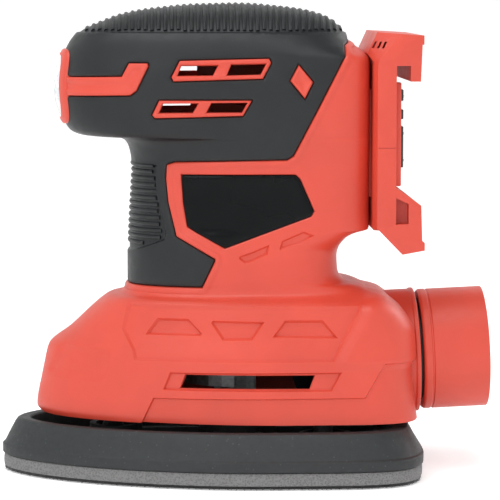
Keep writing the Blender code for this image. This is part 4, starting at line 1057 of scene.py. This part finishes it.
class SANDER_OT_screws(bpy.types.Operator):
    """Makes the clamshell screws"""
    bl_idname = "sander.screws"
    bl_label = "Clamshell screws"

    def execute(self, context):
        head = turned("screw", filleted([(2.85, 0), (2.85, -1.5), (1.5, -2.2), (1.5, -20), (0.01, -21),
                                         (0.01, 0)], 0.35), None, 32)
        socket = lofted("socket", [[(r * math.cos(a), r * math.sin(a), z) for a, r in star()]
                                   for z in (-1.1, 1.0)])
        carved(head, [socket])
        shaded(head)
        guide = new_object("guide", bpy.data.meshes.new("guide"))
        guide.data.from_pydata([(x * MM, y * MM, z * MM) for x, z, y in screw_places()], [], [])
        screws = grown("housing_screws", placed_tree(), {
            "Guide": guide, "Shape": head, "Turn": (-math.pi / 2, 0, 0), "Material": finish("steel_black")})
        for obj in (guide, head):
            bpy.data.objects.remove(obj, do_unlink=True)
        shaded(screws)
        finished(screws, "housing", finish("steel_black"),
                 [f"housing_screw_{i}" for i in range(1, 8)])
        return {"FINISHED"}


def star():
    """A six-lobed drive outline as (angle, radius)."""
    return [(a, 1.15 + 0.22 * math.cos(6 * a)) for a in np.linspace(0, 2 * math.pi, 36, endpoint=False)]


class SANDER_OT_dock(bpy.types.Operator):
    """Makes the battery dock"""
    bl_idname = "sander.dock"
    bl_label = "Battery dock"

    def execute(self, context):
        side_ring = [DOCK_SIDE_CHANGES.get(i, p) for i, p in enumerate(DOCK_FULL)]
        inner = [DOCK_FACET if i in (16, 17) else DOCK_CHAMFER for i in range(len(DOCK_FULL))]
        rings = [[(x, -DOCK_HALF, z) for x, z in side_ring],
                 [(x, -DOCK_HALF + d, z) for (x, z), d in zip(DOCK_FULL, inner)],
                 [(x, DOCK_HALF - d, z) for (x, z), d in zip(DOCK_FULL, inner)],
                 [(x, DOCK_HALF, z) for x, z in side_ring]]
        dock = lofted("battery_dock", rings)
        carved(dock, [box("seat", (49.2, -16.3, 105.7), (57, 16.3, 137.3)),
                      box("hook_room", (54.8, -25, 140), (59.9, 25, 149)),
                      *[plate("pocket", [(54.9, 99.6), (59.3, 97.6), (59.3, 90.6), (54.9, 90.4)], y, y + 6)
                        for y in (-DOCK_HALF - 1, DOCK_HALF - 5)],
                      box("lip_room", (55.6, -24, 90), (61.4, 24, 110))])
        beveled(dock, 0.5)
        cuts = []
        for side in (LEFT, RIGHT):
            near = DOCK_HALF - 0.3 if side == RIGHT else -DOCK_HALF - 1
            cuts.append(box("parting", (48.8, near, 116.95), (55.2, near + 1.3, 117.2)))
            cuts += [plate("slit", [(x, 151.5), (x + 0.75, 151.5), (x + 1.85, 153.8), (x + 1.1, 153.8)],
                           *sorted((side * 21, side * 33))) for x in (45.4, 46.9, 48.4, 49.9)]
        carved(dock, cuts)
        rails = [beveled(box("rail", (54.4, y, 103.5), (57, y + 5, 139.6)), 0.4) for y in (-27, 22)]
        tongue = beveled(box("tongue", (43.2, -17.5, 99), (48.5, 17.5, 137)), 0.4)
        shaded(joined(dock, *rails, tongue), 32)
        finished(dock, "housing", finish("abs_red"), ["battery_dock"])
        return {"FINISHED"}


class SANDER_OT_terminals(bpy.types.Operator):
    """Gives the terminal block and its blades their edges"""
    bl_idname = "sander.terminals"
    bl_label = "Battery terminals"

    def execute(self, context):
        for name, slot, material, width in (
                ("terminal_block", "black_plastic", "nylon_black", 0.35),
                ("power_contact_positive", "contact_metal", "nickel", 0.15),
                ("power_contact_negative", "contact_metal", "nickel", 0.15),
                ("sense_contact", "contact_metal", "nickel", 0.15),
                ("switch_body", "black_plastic", "nylon_black", 0.3)):
            softened(name, width, material, "housing")
        softened("switch_rocker", 0.4, "nylon_black", "rocker")
        return {"FINISHED"}


def softened(node, width, material, body):
    """A CAD node's shape with rounded edges, standing for that node."""
    copy = new_object(node + "_soft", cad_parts[node].data.copy())
    bm = bmesh.new()
    bm.from_mesh(copy.data)
    bmesh.ops.remove_doubles(bm, verts=bm.verts, dist=0.001 * MM)
    bmesh.ops.dissolve_limit(bm, angle_limit=math.radians(1), verts=bm.verts, edges=bm.edges)
    bm.to_mesh(copy.data)
    bm.free()
    shaded(beveled(copy, width, 2))
    return finished(copy, body, finish(material), [node])


class SANDER_OT_bezel(bpy.types.Operator):
    """Makes the frame round the switch's opening"""
    bl_idname = "sander.bezel"
    bl_label = "Switch bezel"

    def execute(self, context):
        rings = []
        for angle in np.linspace(0, 2 * math.pi, 96, endpoint=False):
            out_y, out_z = squared(angle, BEZEL_OUT_Y, BEZEL_OUT_Z, 5)
            in_y, in_z = squared(angle, SWITCH_OPEN_Y, SWITCH_OPEN_Z, 5)
            ring = []
            for share, proud in ((0, -1.2), (0, 0.6), (0.06, 0.95), (0.18, 1.15), (0.8, 1.45),
                                 (0.94, 1.35), (1, 1.0), (1, -2.5), (0.5, -2.5)):
                y, z = out_y + (in_y - out_y) * share, out_z + (in_z - out_z) * share
                ring.append((BODY.front_at(abs(y), SWITCH_Z + z) - proud, y, SWITCH_Z + z))
            rings.append(ring)
        bezel = lofted("switch_bezel_frame", [*rings, rings[0]], capped=False)
        bezel = outward(bezel, 0.001)
        finished(shaded(bezel, 50), "housing", finish("abs_red"), ["switch_bezel"])
        return {"FINISHED"}


class SANDER_OT_boot(bpy.types.Operator):
    """Makes the domed skin over the rocker, with a shallow waist between its two ends"""
    bl_idname = "sander.boot"
    bl_label = "Switch boot"

    def execute(self, context):
        count, steps = 72, 16
        points, faces = [], []
        for k in range(1, steps + 1):
            share = k / steps
            for angle in np.linspace(0, 2 * math.pi, count, endpoint=False):
                y, z = squared(angle, (SWITCH_OPEN_Y - 0.15) * share, (SWITCH_OPEN_Z - 0.15) * share, 4.5)
                base = BODY.front_at(abs(y), SWITCH_Z + z)
                rise = 2.25 * (1 - share ** 5) ** 0.6 * (0.94 + 0.06 * math.cos(z / 3.2))
                points.append((base - rise + 0.1, y, SWITCH_Z + z))
        centre = len(points)
        points.append((points[0][0], 0, SWITCH_Z))
        for i in range(count):
            j = (i + 1) % count
            faces.append((centre, i, j))
            for k in range(steps - 1):
                faces.append((k * count + i, (k + 1) * count + i, (k + 1) * count + j, k * count + j))
        boot = outward(mesh_object("switch_boot_skin", points, faces))
        if sum(p.normal.x * p.area for p in boot.data.polygons) > 0:
            boot.data.flip_normals()
        wall = boot.modifiers.new("wall", "SOLIDIFY")
        wall.thickness, wall.offset = 0.9 * MM, -1
        finished(shaded(applied(boot), 60), "housing", finish("silicone"),
                 ["switch_boot"])
        return {"FINISHED"}


def squared(angle, half_y, half_z, power):
    """A point on a rounded rectangle."""
    c, s = math.cos(angle), math.sin(angle)
    size = (abs(c) ** power + abs(s) ** power) ** (-1 / power)
    return half_y * size * c, half_z * size * s


def merged(obj):
    bm = bmesh.new()
    bm.from_mesh(obj.data)
    bmesh.ops.remove_doubles(bm, verts=bm.verts, dist=0.001 * MM)
    bm.to_mesh(obj.data)
    bm.free()
    return obj


class SANDER_OT_port(bpy.types.Operator):
    """Makes the pull-off sleeve on the dust port"""
    bl_idname = "sander.port"
    bl_label = "Dust sleeve"

    def execute(self, context):
        outline = filleted([(21.6, 26), (21.6, 6.4), (21.25, 6.2), (21.25, 5.7), (21.6, 5.5), (21.6, 3.4),
                            (21, 2.6), (18.3, 2.6), (18.3, 16), (17.4, 17), (17.4, 25.4), (18, 26)], 0.35)
        sleeve = shaded(turned("dust_sleeve", outline, port_place(), 128))
        finished(sleeve, "adapter", finish("abs_red"), ["dust_adapter"])
        return {"FINISHED"}


# ---- pad --------------------------------------------------------------------------------
def delta_ring(z, inset, count=PAD_AROUND, ripple=0.0):
    """The iron-shaped outline of the pad at one height, moved in by inset."""
    front, rear, half = PAD_FRONT + inset, PAD_REAR - inset, PAD_HALF - inset
    middle = front + 0.62 * (rear - front)
    ring = []
    for angle in np.linspace(0, 2 * math.pi, count, endpoint=False):
        c, s = math.cos(angle), math.sin(angle)
        power, reach = (5.0, rear - middle) if c > 0 else (1.75, middle - front)
        size = (abs(c) ** power + abs(s) ** power) ** (-1 / power)
        shift = ripple * math.sin(angle * 37 + 2 * math.sin(angle * 11)) * math.sin(angle * 53)
        ring.append((middle + (reach + shift) * size * c, (half + shift) * size * s, z))
    return ring


def pad_holes(low, high):
    return [rod("hole", DUST_HOLE_R, low, high, spot) for spot in DUST_HOLES]


class SANDER_OT_platen(bpy.types.Operator):
    """Makes the ribbed tray that carries the pad"""
    bl_idname = "sander.platen"
    bl_label = "Platen"

    def execute(self, context):
        side = [(6.2, 1.2), (6.2, 0.3), (6.5, 0.05), (9.3, 0), (9.75, 0.2), (10.2, 0.85), (10.7, 1.15),
                (13, 2.3), (15.5, 3.6), (17.6, 4.75), (18.6, 5.5), (18.95, 6.2), (19, 7.4), (18.8, 9.6),
                (18.3, 10.1), (13, 10.7), (9.9, 11), (9.6, 11.6)]
        platen = lofted("platen_moulding", [delta_ring(z, inset) for z, inset in side])
        ribs = []
        for k in range(3):
            rib = box("rib", (-66, -1.1, 9), (50, 1.1, 14.6))
            rib.data.transform(Matrix.Rotation(math.pi * k / 3, 4, "Z"))
            ribs.append(carved(rib, [lofted("limit", [delta_ring(5, 11.4), delta_ring(25, 11.4)])],
                               "INTERSECT"))
        centre = (ORBIT, 0)
        boss = [rod("boss", 14.1, 8, 24.2, centre, 64)] + [
            rod("socket", 9.5, 8, 16.5, (x + ORBIT, y), 48) for x, y in POSTS]
        carved(platen, ribs + boss, "UNION")
        wells = [rod("seat", 11.3, 15.9, 26, centre, 64), rod("way", SCREW_WAY_R, 2, 17, centre, 48)] + [
            rod("well", 7.3, 12, 19.5, (x + ORBIT, y), 48) for x, y in POSTS]
        carved(platen, wells + pad_holes(2, 26))
        finished(shaded(platen, 24), "pad", finish("nylon_grey"), ["platen"])
        return {"FINISHED"}


class SANDER_OT_foam(bpy.types.Operator):
    """Makes the foam pad with its dust holes"""
    bl_idname = "sander.foam"
    bl_label = "Foam pad"

    def execute(self, context):
        side = [(1.5, 1.0), (1.55, 0.72), (1.9, 0.6), (2.8, 0.48), (3.7, 0.44), (4.7, 0.5), (5.5, 0.62),
                (5.85, 0.75), (5.95, 1.0)]
        rings = [delta_ring(z, inset, 320, 0.05) for z, inset in side]
        foam = carved(lofted("pad_foam", rings), pad_holes(0, 8) + [rod("way", SCREW_WAY_R, 0, 8,
                                                                        (ORBIT, 0), 48)])
        finished(shaded(foam, 40), "pad", finish("foam_grey"), ["foam_pad"])
        return {"FINISHED"}


class SANDER_OT_hooks(bpy.types.Operator):
    """Makes the hook sheet and its field of hooks"""
    bl_idname = "sander.hooks"
    bl_label = "Hook sheet"

    def execute(self, context):
        rings = [delta_ring(z, inset, 420, 0.22) for z, inset in
                 ((0.45, 1.35), (0.5, 0.95), (0.9, 0.8), (1.35, 0.9), (1.4, 1.3))]
        sheet = carved(lofted("hook_backing", rings), pad_holes(-1, 3) + [rod("way", SCREW_WAY_R, -1, 3,
                                                                              (ORBIT, 0), 48)])
        field = new_object("hook_ground", sheet.data.copy())
        bm = bmesh.new()
        bm.from_mesh(field.data)
        upper = [f for f in bm.faces if f.calc_center_median().z > 1.2 * MM or f.normal.z > 0.5]
        bmesh.ops.delete(bm, geom=upper, context="FACES")
        bm.to_mesh(field.data)
        bm.free()
        shape = hook_shape()
        hooks = grown("hooks", scatter_tree(), {
            "Surface": field, "Shape": shape, "Gap": sizes().hook_gap * MM, "Density": 1e6,
            "Seed": 4, "Material": finish("hook_tape")})
        for helper in (field, shape):
            bpy.data.objects.remove(helper, do_unlink=True)
        joined(sheet, hooks)
        finished(shaded(sheet, 50), "pad", finish("hook_tape"), ["hook_sheet"])
        return {"FINISHED"}


def hook_shape():
    """One hook of the tape: a bent strand a fifth of a millimetre thick."""
    rings = []
    for k, angle in enumerate(np.linspace(0, math.pi * 1.15, 5)):
        x, z = 0.28 * (1 - math.cos(angle)), -0.1 - 0.26 * math.sin(min(angle, math.pi / 2)) - 0.02 * k
        if angle > math.pi / 2:
            z = -0.36 - 0.02 * k + 0.26 * (1 - math.sin(angle))
        thick = 0.13 - 0.015 * k
        rings.append([(x + thick * math.cos(a), thick * math.sin(a), z) for a in (0, 2.09, 4.19)])
    return lofted("hook", rings)


CARRIED = {
    "steel_plated": ["motor_can", "bearing_washer", "pad_screw"],
    "nylon_black": ["motor_end_cap", "extraction_fan", "dust_duct"],
    "ferrite": ["magnet_left", "magnet_right"],
    "carbon": ["brush_left", "brush_right"],
    "steel_ground": ["upper_bearing", "lower_bearing", "pad_bearing", "motor_shaft"],
    "laminations": ["armature_core"],
    "copper_wire": ["armature_winding"],
    "copper": ["commutator"],
    "zinc_cast": ["eccentric_hub"],
    "rubber": ["post_front", "post_rear_left", "post_rear_right"],
    "pvc_red": ["lead_battery_to_switch"],
    "pvc_black": ["lead_battery_to_motor", "lead_switch_to_motor"],
}


class SANDER_OT_inner(bpy.types.Operator):
    """Gives the working parts inside their materials"""
    bl_idname = "sander.inner"
    bl_label = "Inner parts"

    def execute(self, context):
        for material, nodes in CARRIED.items():
            for node in nodes:
                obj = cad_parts[node]
                if not obj.material_slots:
                    raise RuntimeError(f"{node} has no material slot")
                for slot in obj.material_slots:
                    slot.link = "OBJECT"
                    slot.material = finish(material)
        return {"FINISHED"}


class SANDER_OT_stage(bpy.types.Operator):
    """Makes the floor, the lights and the camera"""
    bl_idname = "sander.stage"
    bl_label = "Stage"

    def execute(self, context):
        scene = context.scene
        profile = [(600, 0), (1500, 0)] + [(1500 + 1500 * math.sin(a), 1500 - 1500 * math.cos(a))
                                           for a in np.linspace(0.1, math.pi / 2, 10)]
        rings = [[(*p, z) for p in circle(0, 0, radius, 96)] for radius, z in [*profile, (3000, 3500)]]
        floor = lofted("floor", rings, capped=False)
        bm = bmesh.new()
        bm.from_mesh(floor.data)
        bm.verts.ensure_lookup_table()
        bm.faces.new(bm.verts[:96])
        bmesh.ops.recalc_face_normals(bm, faces=bm.faces)
        bm.to_mesh(floor.data)
        bm.free()
        if sum(p.normal.z * p.area for p in floor.data.polygons) < 0:
            floor.data.flip_normals()
        material, tree, shader = blank("matt_white_paper", Roughness=0.9)
        paper = shades(tree, grain(tree, 60), (0.3, "#f4f4f4"), (0.7, "#f8f8f8"))
        tree.links.new(paper, shader.inputs["Base Color"])
        tree.links.new(paper, shader.inputs["Emission Color"])
        shader.inputs["Emission Strength"].default_value = 0.36
        floor.data.materials.append(material)
        world = bpy.data.worlds.new("studio")
        world.use_nodes = True
        sky = world.node_tree.nodes["Background"]
        sky.inputs["Color"].default_value = (1, 1, 1, 1)
        sky.inputs["Strength"].default_value = 0.24
        scene.world = world
        self.light("top_softbox", (-150, -250, 900), (0, 0, 60), 800, 5.0)
        self.light("front_softbox", (-500, -1100, 500), (0, 0, 80), 700, 1.6)
        self.light("rear_softbox", (900, 500, 600), (0, 0, 80), 600, 2.4)
        camera = bpy.data.objects.new("camera", bpy.data.cameras.new("camera"))
        scene.collection.objects.link(camera)
        eye, aim = Vector((-34, -935, 174)), Vector((5.4, 0, 78.6))
        camera.location = eye * MM
        camera.rotation_euler = (aim - eye).to_track_quat("-Z", "Y").to_euler()
        camera.data.lens = sizes().lens
        camera.data.clip_start, camera.data.clip_end = 0.05, 20
        scene.camera = camera
        scene.view_settings.view_transform = "Standard"
        return {"FINISHED"}

    def light(self, name, place, aim, size, power):
        data = bpy.data.lights.new(name, "AREA")
        data.shape = "RECTANGLE"
        data.size, data.size_y = size * MM, size * MM * 0.7
        data.energy = power
        lamp = bpy.data.objects.new(name, data)
        bpy.context.scene.collection.objects.link(lamp)
        lamp.location = Vector(place) * MM
        lamp.rotation_euler = (Vector(aim) - Vector(place)).to_track_quat("-Z", "Y").to_euler()


OPERATORS = [SANDER_OT_stage, SANDER_OT_housing, SANDER_OT_grip, SANDER_OT_badges, SANDER_OT_screws,
             SANDER_OT_dock, SANDER_OT_terminals, SANDER_OT_bezel, SANDER_OT_boot, SANDER_OT_port,
             SANDER_OT_platen, SANDER_OT_foam, SANDER_OT_hooks, SANDER_OT_inner]


class SANDER_PT_panel(bpy.types.Panel):
    """Lists the sander's settings and the steps that build it"""
    bl_idname = "SANDER_PT_panel"
    bl_label = "Delta sander"
    bl_space_type = "VIEW_3D"
    bl_region_type = "UI"
    bl_category = "Sander"

    def draw(self, context):
        for group in (context.scene.sander_sizes, context.scene.sander_colours):
            for key in group.__annotations__:
                self.layout.prop(group, key)
        for operator in OPERATORS:
            self.layout.operator(operator.bl_idname)


CLASSES = [SanderSizes, SanderColours, *OPERATORS, SANDER_PT_panel]


def register():
    for item in CLASSES:
        bpy.utils.register_class(item)
    bpy.types.Scene.sander_sizes = PointerProperty(type=SanderSizes)
    bpy.types.Scene.sander_colours = PointerProperty(type=SanderColours)


def unregister():
    del bpy.types.Scene.sander_sizes
    del bpy.types.Scene.sander_colours
    for item in reversed(CLASSES):
        bpy.utils.unregister_class(item)


def main():
    register()
    for operator in OPERATORS:
        group, name = operator.bl_idname.split(".")
        getattr(getattr(bpy.ops, group), name)()


if __name__ == "__main__":
    main()
